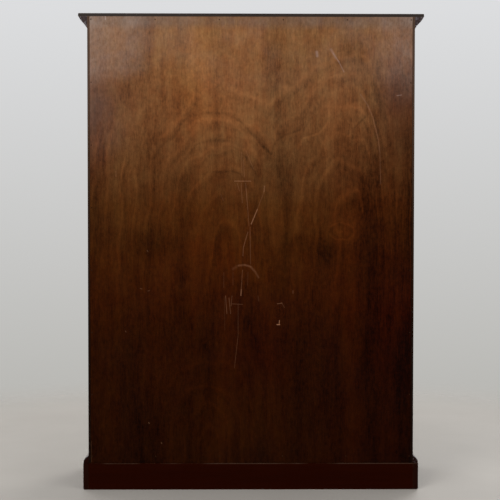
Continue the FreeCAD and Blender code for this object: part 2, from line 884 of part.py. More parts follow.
def door_frame():
    """Stiles and rails of the left door, and the mirrored members of the right one."""
    height = DOOR_HIGH - DOOR_LOW
    hinge_section = member_section(DOOR_OUTER, S.door_stile_width, 1)
    hinge_blank = extruded("hinge_stile_blank", "XY_Plane", hinge_section, DOOR_LOW, height)
    meeting_section = member_section(DOOR_INNER, S.door_stile_width, -1)
    meeting_blank = extruded("meeting_stile_blank", "XY_Plane", meeting_section, DOOR_LOW, height)
    width = DOOR_INNER - DOOR_OUTER
    top_section = swap(member_section(DOOR_HIGH, S.door_top_rail, -1))
    bottom_section = swap(member_section(DOOR_LOW, S.door_bottom_rail, 1))
    for name, section in (("top_rail", top_section), ("bottom_rail", bottom_section)):
        blank = extruded(name + "_blank", "YZ_Plane", section, DOOR_OUTER, width)
        left = node(cut("left_" + name, blank, [hinge_blank, meeting_blank]), "left_" + name)
        node(mirrored("right_" + name, left), "right_" + name)
    recesses = leaf_recesses("door_stile", DOOR_OUTER, 1)
    left = node(cut("left_hinge_stile", hinge_blank, recesses), "left_hinge_stile")
    node(mirrored("right_hinge_stile", left), "right_hinge_stile")
    strike = block(
        "strike_mortise",
        (DOOR_INNER - S.lock_bolt_travel - S.lock_play, DOOR_INNER),
        (
            LOCK_BOLT_Y - S.lock_bolt_thick / 2 - S.keeper_play,
            LOCK_BOLT_Y + S.lock_bolt_thick / 2 + S.keeper_play,
        ),
        (LOCK_BOLT_LOW - S.keeper_play, LOCK_BOLT_LOW + S.lock_bolt_height + S.keeper_play),
    )
    node(cut("left_meeting_stile", meeting_blank, [strike]), "left_meeting_stile")
    right_blank = mirrored("right_meeting_blank", meeting_blank)
    mortise = block(
        "lock_mortise",
        (LOCK_X, LOCK_X + S.lock_width),
        (LOCK_FRONT, LOCK_BACK),
        (LOCK_LOW, LOCK_LOW + S.lock_height),
    )
    hole = keyhole("stile_keyhole", FRONT, LOCK_FRONT)
    node(cut("right_meeting_stile", right_blank, [mortise] + hole), "right_meeting_stile")


def bar_section():
    """An astragal: a round nose with a small fillet each side, on a rib between the panes."""
    half = S.bar_width / 2
    shoulder = REBATE_FRONT
    ledge = shoulder - S.bar_fillet
    rib = S.rib_width / 2
    return [
        (-half, shoulder),
        (-half, ledge),
        (-NOSE_HALF, ledge),
        (NOSE_HALF, ledge, NOSE_RADIUS, 1),
        (half, ledge),
        (half, shoulder),
        (rib, shoulder),
        (rib, shoulder + S.rib_depth),
        (-rib, shoulder + S.rib_depth),
        (-rib, shoulder),
    ]


def stick(name, section, length, x, z, angle=None):
    """A bar with the given section, standing at (x, z), or leaning by an angle about +Y."""
    body = new_body(name)
    sketch = new_sketch(body, "XY_Plane")
    outline(sketch, section)
    pad(body, sketch, length)
    if angle is not None:
        turn(body, (0, 1, 0), angle[0], angle[1])
    bind(body, "Placement.Base.x", x)
    bind(body, "Placement.Base.z", z)
    return body


def pane_slot():
    """The rib's outline with the glass clearance round it, for cutting the panes apart."""
    half = S.rib_width / 2 + S.glass_seat
    return [
        (-half, REBATE_FRONT),
        (half, REBATE_FRONT),
        (half, REBATE_FRONT + S.rib_depth),
        (-half, REBATE_FRONT + S.rib_depth),
    ]


def lattice(prefix, section):
    """The two uprights, two level bars and four slanted bars that carry thirteen panes."""
    level_angle = ("90", 90)
    uprights = []
    for index, x in enumerate((SIGHT_OUTER + S.margin_pane, SIGHT_INNER - S.margin_pane)):
        name = "%s_upright_%d" % (prefix, index)
        uprights.append(stick(name, section, SIGHT_HIGH - SIGHT_LOW, x, SIGHT_LOW))
    levels = []
    for index, z in enumerate((SHELF_LEVELS[0], SHELF_LEVELS[2])):
        name = "%s_level_%d" % (prefix, index)
        levels.append(stick(name, section, SIGHT_INNER - SIGHT_OUTER, SIGHT_OUTER, z, level_angle))
    rise = SHELF_LEVELS[2] - SHELF_LEVELS[1]
    run = SIGHT_INNER - S.margin_pane - SIGHT_MIDDLE
    length = root_of_squares(rise, run)
    slanted = []
    for index, (side, up) in enumerate(((1, 1), (1, -1), (-1, 1), (-1, -1))):
        lean = math.degrees(math.atan2(-side * run.value, up * rise.value))
        text = "atan2(%s; %s)" % ((run * -side).text, (rise * up).text)
        start_x = SIGHT_MIDDLE + run * side * (1 + OVERRUN)
        start_z = SHELF_LEVELS[1] - rise * up * OVERRUN
        name = "%s_slanted_%d" % (prefix, index)
        slanted.append(stick(name, section, length * (1 + OVERRUN * 2), start_x, start_z, (text, lean)))
    return uprights, levels, slanted


def quadrant(name, side, up):
    """The quarter of the middle opening that one slanted bar crosses, just short of the bars' crowns."""
    if side > 0:
        x = (SIGHT_MIDDLE, SIGHT_INNER - S.margin_pane - S.cope_trim)
    else:
        x = (SIGHT_OUTER + S.margin_pane + S.cope_trim, SIGHT_MIDDLE)
    if up > 0:
        z = (SHELF_LEVELS[1], SHELF_LEVELS[2] - S.cope_trim)
    else:
        z = (SHELF_LEVELS[0] + S.cope_trim, SHELF_LEVELS[1])
    return block(name, x, (FRONT, FRAME_BACK), z)


def glazing():
    """Astragal bars, the panes between them and the beads that hold the glass."""
    uprights, levels, slanted = lattice("bar", bar_section())
    pieces = list(uprights)
    for index, level in enumerate(levels):
        pieces.append(cut("bar_level_%d_cut" % index, level, uprights))
    for index, (side, up) in enumerate(((1, 1), (1, -1), (-1, 1), (-1, -1))):
        kept = doc.addObject("Part::Common", "bar_slanted_%d_kept" % index)
        kept.Base = slanted[index]
        kept.Tool = quadrant("bar_quarter_%d" % index, side, up)
        pieces.append(cut("bar_slanted_%d_cut" % index, kept, uprights + levels))
    left = node(group("left_glazing_bars", pieces), "left_glazing_bars")
    node(mirrored("right_glazing_bars", left), "right_glazing_bars")

    reach = S.glass_rebate - S.glass_edge_clearance
    glass = block(
        "glass_sheet",
        (SIGHT_OUTER - reach, SIGHT_INNER + reach),
        (GLASS_FRONT, GLASS_BACK),
        (SIGHT_LOW - reach, SIGHT_HIGH + reach),
    )
    slots = glass_slots(reach)
    left = node(cut("left_panes", glass, slots), "left_panes")
    node(mirrored("right_panes", left), "right_panes")

    left = node(group("left_glazing_beads", glazing_beads()), "left_glazing_beads")
    node(mirrored("right_glazing_beads", left), "right_glazing_beads")


def glass_slots(reach):
    """Slots for the ribs. The straight ones run out through the edges of the glass."""
    uprights, levels, slanted = lattice("slot", pane_slot())
    for upright in uprights:
        bind(upright.Tip, "Length", SIGHT_HIGH - SIGHT_LOW + reach * 2)
        bind(upright, "Placement.Base.z", SIGHT_LOW - reach)
    for level in levels:
        bind(level.Tip, "Length", SIGHT_INNER - SIGHT_OUTER + reach * 2)
        bind(level, "Placement.Base.x", SIGHT_OUTER - reach)
    slots = list(uprights) + list(levels)
    for index, (side, up) in enumerate(((1, 1), (1, -1), (-1, 1), (-1, -1))):
        kept = doc.addObject("Part::Common", "slot_slanted_%d_kept" % index)
        kept.Base = slanted[index]
        kept.Tool = quadrant("slot_quarter_%d" % index, side, up)
        slots.append(kept)
    return slots


def glazing_beads():
    """Four square beads behind the edges of the glass."""
    front = GLASS_BACK + S.glass_seat
    depth = (front, front + S.bead_thick)
    outer = SIGHT_OUTER - S.glass_rebate
    inner = SIGHT_INNER + S.glass_rebate
    low = SIGHT_LOW - S.glass_rebate
    high = SIGHT_HIGH + S.glass_rebate
    return [
        block("bead_outer", (outer, SIGHT_OUTER), depth, (low, high)),
        block("bead_inner", (SIGHT_INNER, inner), depth, (low, high)),
        block("bead_low", (SIGHT_OUTER, SIGHT_INNER), depth, (low, SIGHT_LOW)),
        block("bead_high", (SIGHT_OUTER, SIGHT_INNER), depth, (SIGHT_HIGH, high)),
    ]


# Bolts of the left door


def door_bolt(name, end, up):
    """A bolt on the back of the meeting stile. Its flat bar leaves the end of the plate."""
    inner_end = end - S.bolt_plate_height * up
    levels = (inner_end, end) if up > 0 else (end, inner_end)
    half = S.bolt_plate_width / 2
    plate_depth = (FRAME_BACK, FRAME_BACK + S.bolt_plate_thick)
    solids = [block(name + "_base", (BOLT_X - half, BOLT_X + half), plate_depth, levels)]
    staple_half = S.staple_width / 2
    staple_depth = (plate_depth[1], BAR_HIGH_Y + S.running_play + S.staple_wall)
    for index, low in enumerate((levels[0], levels[1] - S.staple_height)):
        staple_name = "%s_staple_%d" % (name, index)
        reach = (BOLT_X - staple_half, BOLT_X + staple_half)
        solids.append(block(staple_name, reach, staple_depth, (low, low + S.staple_height)))
    channel = bolt_passage(name + "_channel", S.running_play, levels)
    node(cut(name + "_plate", fuse(name + "_solid", solids), [channel]), name + "_plate")
    bar_half = S.bolt_bar_width / 2
    bar = block(name + "_bar", (BOLT_X - bar_half, BOLT_X + bar_half), (BAR_LOW_Y, BAR_HIGH_Y), levels)
    thumb_z = (levels[0] + levels[1]) / 2 - S.bolt_travel * up / 2
    thumb = round_bar(name + "_thumb", S.thumb_radius, S.thumb_length, (BOLT_X, BAR_HIGH_Y, thumb_z), "+Y")
    node(fuse(name, [bar, thumb]), name)


def bolts():
    stop_top = OPEN_TOP - S.stop_drop
    stop_bottom = BOTTOM_LEVEL + S.stop_drop
    door_bolt("upper_bolt", stop_top - S.keeper_thick - S.bolt_end_gap, 1)
    door_bolt("lower_bolt", stop_bottom + S.keeper_thick + S.bolt_end_gap, -1)
    half = S.bolt_plate_width / 2
    depth = (FRAME_BACK + S.stop_gap, FRAME_BACK + S.stop_gap + S.stop_thick)
    for name, low in (("upper_keeper", stop_top - S.keeper_thick), ("lower_keeper", stop_bottom)):
        levels = (low, low + S.keeper_thick)
        plate = block(name + "_plate", (BOLT_X - half, BOLT_X + half), depth, levels)
        node(cut(name, plate, [bolt_passage(name + "_slot", S.keeper_play, levels)]), name)


# Lock of the right door


def keyhole(name, front, back):
    """A round hole for the key's shank and a slot for its bit."""
    length = back - front
    radius = S.key_radius + S.key_play
    slot_half = S.bit_thick / 2 + S.key_play
    return [
        round_bar(name + "_round", radius, length, (KEY_X, front, KEY_Z), "+Y"),
        block(
            name + "_slot",
            (KEY_X - slot_half, KEY_X + slot_half),
            (front, back),
            (KEY_Z - S.bit_reach - S.key_play, KEY_Z),
        ),
    ]


def lock():
    """Cut lock let into the back of the stile, with its bolt, key and escutcheon."""
    outer = block(
        "lock_outer",
        (LOCK_X, LOCK_X + S.lock_width),
        (LOCK_FRONT, LOCK_BACK),
        (LOCK_LOW, LOCK_LOW + S.lock_height),
    )
    cavity = block(
        "lock_cavity",
        (LOCK_X + S.lock_wall, LOCK_X + S.lock_width - S.lock_wall),
        (LOCK_FRONT + S.lock_wall, LOCK_BACK - S.lock_wall),
        (LOCK_LOW + S.lock_wall, LOCK_LOW + S.lock_height - S.lock_wall),
    )
    half = S.lock_bolt_thick / 2
    mouth = block(
        "lock_mouth",
        (LOCK_X, LOCK_X + S.lock_wall),
        (LOCK_BOLT_Y - half - S.lock_play, LOCK_BOLT_Y + half + S.lock_play),
        (LOCK_BOLT_LOW - S.lock_play, LOCK_BOLT_LOW + S.lock_bolt_height + S.lock_play),
    )
    hole = keyhole("lock_keyhole", LOCK_FRONT, LOCK_FRONT + S.lock_wall)
    node(cut("lock_case", outer, [cavity, mouth] + hole), "lock_case")
    lock_bolt(half)
    key(half)
    escutcheon()


def lock_bolt(half):
    """A flat bolt with a wide talon that the key's bit passes through."""
    start = LOCK_X + S.lock_end_set
    end = LOCK_X + S.lock_width - S.lock_wall - S.lock_end_set
    bar = block(
        "lock_bolt_bar",
        (start, end),
        (LOCK_BOLT_Y - half, LOCK_BOLT_Y + half),
        (LOCK_BOLT_LOW, LOCK_BOLT_LOW + S.lock_bolt_height),
    )
    middle = KEY_X + S.lock_bolt_travel / 2
    reach = S.bit_reach - S.key_play
    talon = block(
        "lock_bolt_talon",
        (middle - reach, middle + reach),
        (LOCK_BOLT_Y - half, LOCK_BOLT_Y + half),
        (LOCK_BOLT_LOW, KEY_Z + S.bit_reach + S.key_play * 2),
    )
    node(cut("lock_bolt", bar, [talon]), "lock_bolt")


def key(half):
    """A barrel key: shank, collar, bit, and an open ring for its bow."""
    front = FRONT - S.plate_thick - S.bow_stand_off
    shank_back = LOCK_BOLT_Y + half
    base = (KEY_X, shank_back, KEY_Z)
    shank = round_bar("key_shank", S.key_radius, shank_back - front, base, "-Y")
    collar_back = FRONT - S.plate_thick - S.key_play
    collar = round_bar(
        "key_collar", S.key_radius + S.bit_thick / 2, S.bit_thick, (KEY_X, collar_back, KEY_Z), "-Y"
    )
    bit = block(
        "key_bit",
        (KEY_X - S.bit_thick / 2, KEY_X + S.bit_thick / 2),
        (LOCK_BOLT_Y - half, shank_back),
        (KEY_Z - S.bit_reach, KEY_Z),
    )
    centre_y = front - S.bow_radius + S.key_radius
    ring_x = KEY_X - S.bow_wire / 2
    disc = round_bar("key_disc", S.bow_radius, S.bow_wire, (ring_x, centre_y, KEY_Z), "+X")
    eye = round_bar("key_eye", S.bow_radius - S.bow_wire, S.bow_wire, (ring_x, centre_y, KEY_Z), "+X")
    bow = cut("key_bow", disc, [eye])
    node(fuse("key", [shank, collar, bit, bow]), "key")


def escutcheon():
    """An oval plate round the keyhole."""
    middle_z = KEY_Z - S.bit_reach / 2
    half_width = S.plate_width / 2
    straight = S.plate_height / 2 - half_width
    front = FRONT - S.plate_thick
    sides = (KEY_X - half_width, KEY_X + half_width)
    plate = [block("escutcheon_middle", sides, (front, FRONT), (middle_z - straight, middle_z + straight))]
    for name, level in (("low", middle_z - straight), ("high", middle_z + straight)):
        plate.append(round_bar("escutcheon_" + name, half_width, S.plate_thick, (KEY_X, front, level), "+Y"))
    hole = keyhole("escutcheon_keyhole", front, FRONT)
    node(cut("escutcheon", fuse("escutcheon_blank", plate), hole), "escutcheon")


def check(pieces):
    """Stop if any object failed or any sub-part has no valid solid."""
    for item in doc.Objects:
        if "Invalid" in item.State or "Error" in item.State:
            raise RuntimeError("%s failed: %s" % (item.Name, item.State))
    for piece in pieces:
        if piece.Shape.isNull() or not piece.Shape.isValid() or not piece.Shape.Solids:
            raise RuntimeError("%s has no valid solid" % piece.Label)


def main():
    side_board()
    housed_board("top_board", TOP_LOW)
    housed_board("bottom_board", BOTTOM_LEVEL - S.board_thick)
    cap_board()
    back_panel()
    back_brads()
    face_frame()
    stop_strips()
    cornice()
    plinth()
    plinth_moulding()
    glue_blocks()
    shelves()
    shelf_bearers()
    hinges()
    door_frame()
    glazing()
    bolts()
    lock()
    doc.recompute()
    check(NODES)
    os.makedirs("parts", exist_ok=True)
    for piece in NODES:
        piece.Shape.exportStep("parts/%s.step" % piece.Label)


main()
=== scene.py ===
import math

import bmesh
import bpy
from mathutils import Matrix, Vector


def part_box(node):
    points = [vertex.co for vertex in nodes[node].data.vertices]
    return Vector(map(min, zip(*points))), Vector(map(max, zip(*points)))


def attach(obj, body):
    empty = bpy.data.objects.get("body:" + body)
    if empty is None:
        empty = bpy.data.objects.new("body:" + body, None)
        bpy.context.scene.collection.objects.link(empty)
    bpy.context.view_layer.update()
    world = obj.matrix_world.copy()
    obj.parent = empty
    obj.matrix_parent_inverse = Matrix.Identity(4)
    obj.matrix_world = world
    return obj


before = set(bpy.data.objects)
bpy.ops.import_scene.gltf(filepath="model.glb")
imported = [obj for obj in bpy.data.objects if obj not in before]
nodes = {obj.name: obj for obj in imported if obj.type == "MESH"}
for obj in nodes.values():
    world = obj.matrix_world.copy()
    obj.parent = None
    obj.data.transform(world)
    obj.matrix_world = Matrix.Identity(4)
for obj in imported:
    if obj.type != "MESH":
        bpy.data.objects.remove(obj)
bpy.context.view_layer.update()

MM = 0.001
WHITE_LEVEL = 255


def linear(red, green, blue):
    """A colour that is given as it shows on a screen, from 0 to 255, as the light it stands for."""
    light = []
    for level in (red, green, blue):
        shown = level / WHITE_LEVEL
        light.append(shown / 12.92 if shown <= 0.04045 else ((shown + 0.055) / 1.055) ** 2.4)
    return (*light, 1)


def box_of(node):
    """The lowest and highest corner of a CAD node."""
    low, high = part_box(node)
    return Vector(low), Vector(high)


# The reference view, straight on from behind and just over half-way up

PHOTO_SIZE = 500
FOCAL_PIXELS = 1123.6
CAMERA_PLACE = Vector((0.037, 3.67, 0.85))
PITCH = math.radians(1.663)
YAW = math.radians(0.551)
ROLL = math.radians(0.05)
CAMERA_TURN = (
    Matrix.Rotation(math.pi - YAW, 3, "Z")
    @ Matrix.Rotation(math.pi / 2 - PITCH, 3, "X")
    @ Matrix.Rotation(ROLL, 3, "Z")
)
BACK_FACE = box_of("back_panel")[1].y


def on_back(across, down):
    """The place on the back that the reference view shows at a pixel."""
    middle = PHOTO_SIZE / 2
    ray = CAMERA_TURN @ Vector((across - middle, middle - down, -FOCAL_PIXELS))
    return CAMERA_PLACE + ray * ((BACK_FACE - CAMERA_PLACE.y) / ray.y)


# Node trees

BEVEL_SAMPLES = 4

# How far a rounded edge's normal agrees with the flat one where edge wear and painted edge highlights
# start and are full
EDGE_START = 0.999
EDGE_FULL = 0.8


def operation(name):
    """A method that adds one math node."""
    return lambda value, *others: value.graph.math(name, value, *others)


class Value:
    """A number socket in a node tree. Arithmetic with it adds math nodes."""

    def __init__(self, graph, socket):
        self.graph = graph
        self.socket = socket

    __add__ = __radd__ = operation("ADD")
    __sub__ = operation("SUBTRACT")
    __mul__ = __rmul__ = operation("MULTIPLY")
    __truediv__ = operation("DIVIDE")
    __abs__ = operation("ABSOLUTE")
    sine = operation("SINE")
    root = operation("SQRT")
    fraction = operation("FRACT")
    at_least = operation("MAXIMUM")
    at_most = operation("MINIMUM")

    def __rsub__(self, other):
        return self.graph.math("SUBTRACT", other, self)

    def clipped(self):
        return self.at_least(0).at_most(1)

    def above(self, low, high):
        """0 at low, 1 at high and smooth in between. With high under low it falls."""
        node = self.graph.add("ShaderNodeMapRange", interpolation_type="SMOOTHSTEP")
        start, end = (0, 1) if low < high else (1, 0)
        low, high = sorted((low, high))
        ends = {"From Min": low, "From Max": high, "To Min": start, "To Max": end}
        self.graph.fill(node, {"Value": self, **ends})
        return Value(self.graph, node.outputs["Result"])

    def bell(self, centre, width):
        """1 at the centre, falling to 0 at a distance of width."""
        return abs(self - centre).above(width, 0)


class Graph:
    """Adds and links the nodes of one tree."""

    def __init__(self, tree):
        self.tree = tree
        tree.nodes.clear()

    def add(self, kind, *values, **settings):
        """A new node with its settings, and with values for its first inputs."""
        node = self.tree.nodes.new(kind)
        for name, setting in settings.items():
            setattr(node, name, setting)
        return self.fill(node, dict(enumerate(values)))

    def fill(self, node, values):
        """Feeds a node's inputs by number or name, and returns the node."""
        for key, value in values.items():
            self.feed(node.inputs[key], value)
        return node

    def feed(self, socket, value):
        if isinstance(value, Value):
            value = value.socket
        if isinstance(value, bpy.types.NodeSocket):
            self.tree.links.new(value, socket)
        else:
            socket.default_value = value

    def math(self, operation, *values):
        node = self.add("ShaderNodeMath", *values, operation=operation)
        return Value(self, node.outputs[0])

    def number(self, value):
        """Where a sum or a maximum starts."""
        return self.math("ADD", value, 0)

    def vector_math(self, operation, a, b):
        return self.add("ShaderNodeVectorMath", a, b, operation=operation)

    def combine(self, x, y, z):
        return self.add("ShaderNodeCombineXYZ", x, y, z).outputs[0]

    def split(self, vector):
        node = self.add("ShaderNodeSeparateXYZ", vector)
        return [Value(self, socket) for socket in node.outputs]

    def place(self):
        """The point's coordinates on the object at rest, in metres."""
        return self.add("ShaderNodeTexCoord").outputs["Object"]

    def noise(self, vector, scale, detail=3, roughness=0.5):
        grain = {"Vector": vector, "Scale": scale, "Detail": detail, "Roughness": roughness}
        node = self.fill(self.add("ShaderNodeTexNoise", noise_dimensions="3D"), grain)
        return Value(self, node.outputs["Fac"])

    def ramp(self, value, stops, smooth=True):
        """A colour for each value, from (value, colour) stops in rising order."""
        node = self.add("ShaderNodeValToRGB")
        ramp = node.color_ramp
        ramp.interpolation = "EASE" if smooth else "LINEAR"
        for index, (position, colour) in enumerate(stops):
            stop = ramp.elements[index] if index < 2 else ramp.elements.new(position)
            stop.position = position
            stop.color = colour
        self.feed(node.inputs["Fac"], value)
        return node.outputs["Color"]

    def mix(self, factor, a, b, blend="MIX"):
        """Two colours mixed. The node's colour sockets are 6 and 7, and 2 for the result."""
        node = self.add("ShaderNodeMix", data_type="RGBA", blend_type=blend, clamp_factor=True)
        return self.fill(node, {"Factor": factor, 6: a, 7: b}).outputs[2]

    def tinted(self, colour, tint, factor=1.0):
        """A colour multiplied by another, as far as the factor says."""
        return self.mix(factor, colour, tint, "MULTIPLY")

    def scaled(self, colour, factor):
        """A colour made lighter or darker by a factor."""
        node = self.add("ShaderNodeVectorMath", colour, operation="SCALE")
        return self.fill(node, {"Scale": factor}).outputs[0]

    def blended(self, factor, first, second):
        """A shader that turns from the first into the second as the factor rises."""
        node = self.add("ShaderNodeMixShader", factor, first.outputs[0], second.outputs[0])
        return node.outputs[0]

    def bevelled(self, radius):
        """The surface's normal with its edges rounded, and how near an edge is."""
        bevel = self.add("ShaderNodeBevel", samples=BEVEL_SAMPLES)
        self.fill(bevel, {"Radius": radius})
        flat = self.add("ShaderNodeNewGeometry").outputs["Normal"]
        facing = self.vector_math("DOT_PRODUCT", bevel.outputs[0], flat)
        edge = Value(self, facing.outputs["Value"]).above(EDGE_START, EDGE_FULL)
        return bevel.outputs[0], edge

    def bump(self, height, distance, normal):
        relief = {"Strength": 1, "Distance": distance, "Height": height, "Normal": normal}
        return self.fill(self.add("ShaderNodeBump"), relief).outputs[0]


def new_material(name):
    """A material, the graph that feeds it, its shader and its output."""
    material = bpy.data.materials.new(name)
    material.use_nodes = True
    graph = Graph(material.node_tree)
    shader = graph.add("ShaderNodeBsdfPrincipled")
    output = graph.add("ShaderNodeOutputMaterial", shader.outputs[0])
    return material, graph, shader, output


# Wood

# Which coordinates run across, through and along the grain, and how far a seed shifts each
GRAIN_ORDER = {"x": (1, 2, 0), "y": (0, 2, 1), "z": (0, 1, 2)}
SEED_SHIFT = (1.37, 0.71, 2.9)

# The level glazing bars, whose grain lies flat: heights, half thickness, and where the grain turns
LEVEL_BARS = (0.4478, 1.1173)
LEVEL_BAR_HALF = 6 * MM
LEVEL_BAR_CHANGE = 0.3 * MM

# Growth rings: how they are cut, their waves a metre, and how they drift and lean along the grain
RING_CUT = (0.8, 0.6)
RING_WAVES = 190
RING_DRIFT = 9
RING_LEAN = 1.4

# Shares of rings, ribbons and mottle in the figure, and the noise where pores start and are full
RING_SHARE = 0.13
RIBBON_SHARE = 0.6
MOTTLE_SHARE = 0.27
PORE_RANGE = (0.56, 0.68)

# How square a face is to the grain where end grain starts and is full
END_GRAIN_RANGE = (0.75, 0.95)

# Painted shade: the shade of wood at the floor, how much it gains upwards, and between which heights
FOOT_SHADE = 0.62
SHADE_GAIN = 0.45
SHADE_HEIGHTS = (-0.1, 1.5)

POLISHED = (linear(38, 14, 7), linear(78, 33, 17), linear(112, 54, 28))
INNER = (linear(74, 38, 20), linear(112, 62, 34), linear(140, 86, 50))
FIGURE_STOPS = (0.3, 0.52, 0.75)
PORE_COLOUR = linear(22, 7, 3)
PORE_SHARE = 0.55
EDGE_RADIUS = 1.1 * MM
WOOD_RELIEF = 0.12 * MM

# Polish: specular level, coat and its roughness, and the wood's own with no gloss and less with full
POLISH_SHINE = 0.2
POLISH_COAT = 0.22
COAT_ROUGHNESS = 0.12
DULL_ROUGHNESS = 0.46
GLOSS_GAIN = 0.24
INNER_GLOSS = 0.3


def grain_place(graph, along, seed, level_bars=()):
    """Coordinates with the third one along the grain, shifted so that no two pieces match."""
    x, y, z = graph.split(graph.place())
    for height in level_bars:
        turned = abs(z - height).above(LEVEL_BAR_HALF + LEVEL_BAR_CHANGE, LEVEL_BAR_HALF)
        x, z = x + (z - x) * turned, z + (x - z) * turned
    parts = (x, y, z)
    return [parts[index] + seed * shift for index, shift in zip(GRAIN_ORDER[along], SEED_SHIFT)]


def wood_figure(graph, across, through, length):
    """The figure of a straight-grained hardwood and its pores, each from 0 to 1."""
    drift = graph.noise(graph.combine(across * 3, through * 3, length * 0.7), scale=2, detail=2)
    cut = abs(across * RING_CUT[0] + through * RING_CUT[1])
    rings = (cut * RING_WAVES + drift * RING_DRIFT + length * RING_LEAN).sine() * 0.5 + 0.5
    ribbon = graph.noise(graph.combine(across, through, length * 0.05), scale=120, roughness=0.6)
    mottle = graph.noise(graph.combine(across, through, length * 0.3), scale=26, roughness=0.55)
    pores = graph.noise(graph.combine(across, through, length * 0.045), scale=1500, detail=2)
    figure = rings * RING_SHARE + ribbon * RIBBON_SHARE + mottle * MOTTLE_SHARE
    return figure, pores.above(*PORE_RANGE)


def figured_colour(graph, figure, pores, tones):
    """The colour of wood that runs through three tones, with dark pores."""
    colour = graph.ramp(figure, tuple(zip(FIGURE_STOPS, tones)))
    return graph.mix(pores * PORE_SHARE, colour, PORE_COLOUR)


def wood_relief(graph, figure, pores, normal):
    """The normal of wood whose pores are sunk and whose figure stands up a little."""
    return graph.bump(pores * -0.6 + figure * 0.25, WOOD_RELIEF, normal)


def end_grain(graph, along):
    """How far the surface is a cut across the grain, from 0 to 1."""
    normal = graph.add("ShaderNodeNewGeometry").outputs["Normal"]
    local = graph.add("ShaderNodeVectorTransform", normal, vector_type="NORMAL")
    local.convert_from = "WORLD"
    local.convert_to = "OBJECT"
    component = graph.split(local.outputs[0])["xyz".index(along)]
    return abs(component).above(*END_GRAIN_RANGE)


def foot_shade(graph):
    """Painted shade that darkens wood towards the floor, as light from above falls off."""
    height = graph.split(graph.place())[2]
    return height.above(*SHADE_HEIGHTS) * SHADE_GAIN + FOOT_SHADE


def wood(node, along, seed, tones, gloss, level_bars=()):
    """Mahogany with its grain along one axis, polished to a gloss from 0 to 1."""
    material, graph, shader, _ = new_material("wood_" + node)
    across, through, length = grain_place(graph, along, seed, level_bars)
    figure, pores = wood_figure(graph, across, through, length)
    dark, _, light = tones
    colour = figured_colour(graph, figure, pores, tones)
    ends = end_grain(graph, along)
    colour = graph.mix(ends * 0.7, colour, dark)
    normal, edge = graph.bevelled(EDGE_RADIUS)
    # Worn edges, lightened, which also serve as a painted edge highlight
    worn_and_highlit = edge * graph.noise(graph.place(), scale=45, roughness=0.6).above(0.42, 0.7)
    colour = graph.mix(worn_and_highlit * 0.5, colour, light)
    clouds = graph.noise(graph.place(), scale=14, roughness=0.6)
    rough = clouds * 0.16 + (DULL_ROUGHNESS - gloss * GLOSS_GAIN)
    looks = {
        # Painted shade: darker towards the floor
        "Base Color": graph.scaled(colour, foot_shade(graph)),
        "Roughness": rough + pores * 0.12 + ends * 0.15,
        "Specular IOR Level": POLISH_SHINE,
        "Coat Weight": POLISH_COAT * gloss,
        "Coat Roughness": COAT_ROUGHNESS,
        "Normal": wood_relief(graph, figure, pores, normal),
    }
    graph.fill(shader, looks)
    return material


# The back

CABINET_HEIGHT = 1.48

# The varnish against height as a share of the whole, with painted shade: pale at the top, nearly black
# at the foot
BACK_TONES_AND_SHADE = (
    (0.08, linear(33, 10, 1)),
    (0.25, linear(37, 12, 1)),
    (0.34, linear(41, 14, 1)),
    (0.4, linear(47, 17, 2)),
    (0.5, linear(57, 25, 4)),
    (0.6, linear(69, 36, 11)),
    (0.7, linear(90, 55, 28)),
    (0.77, linear(105, 66, 36)),
    (0.86, linear(113, 73, 42)),
    (0.96, linear(118, 77, 44)),
)

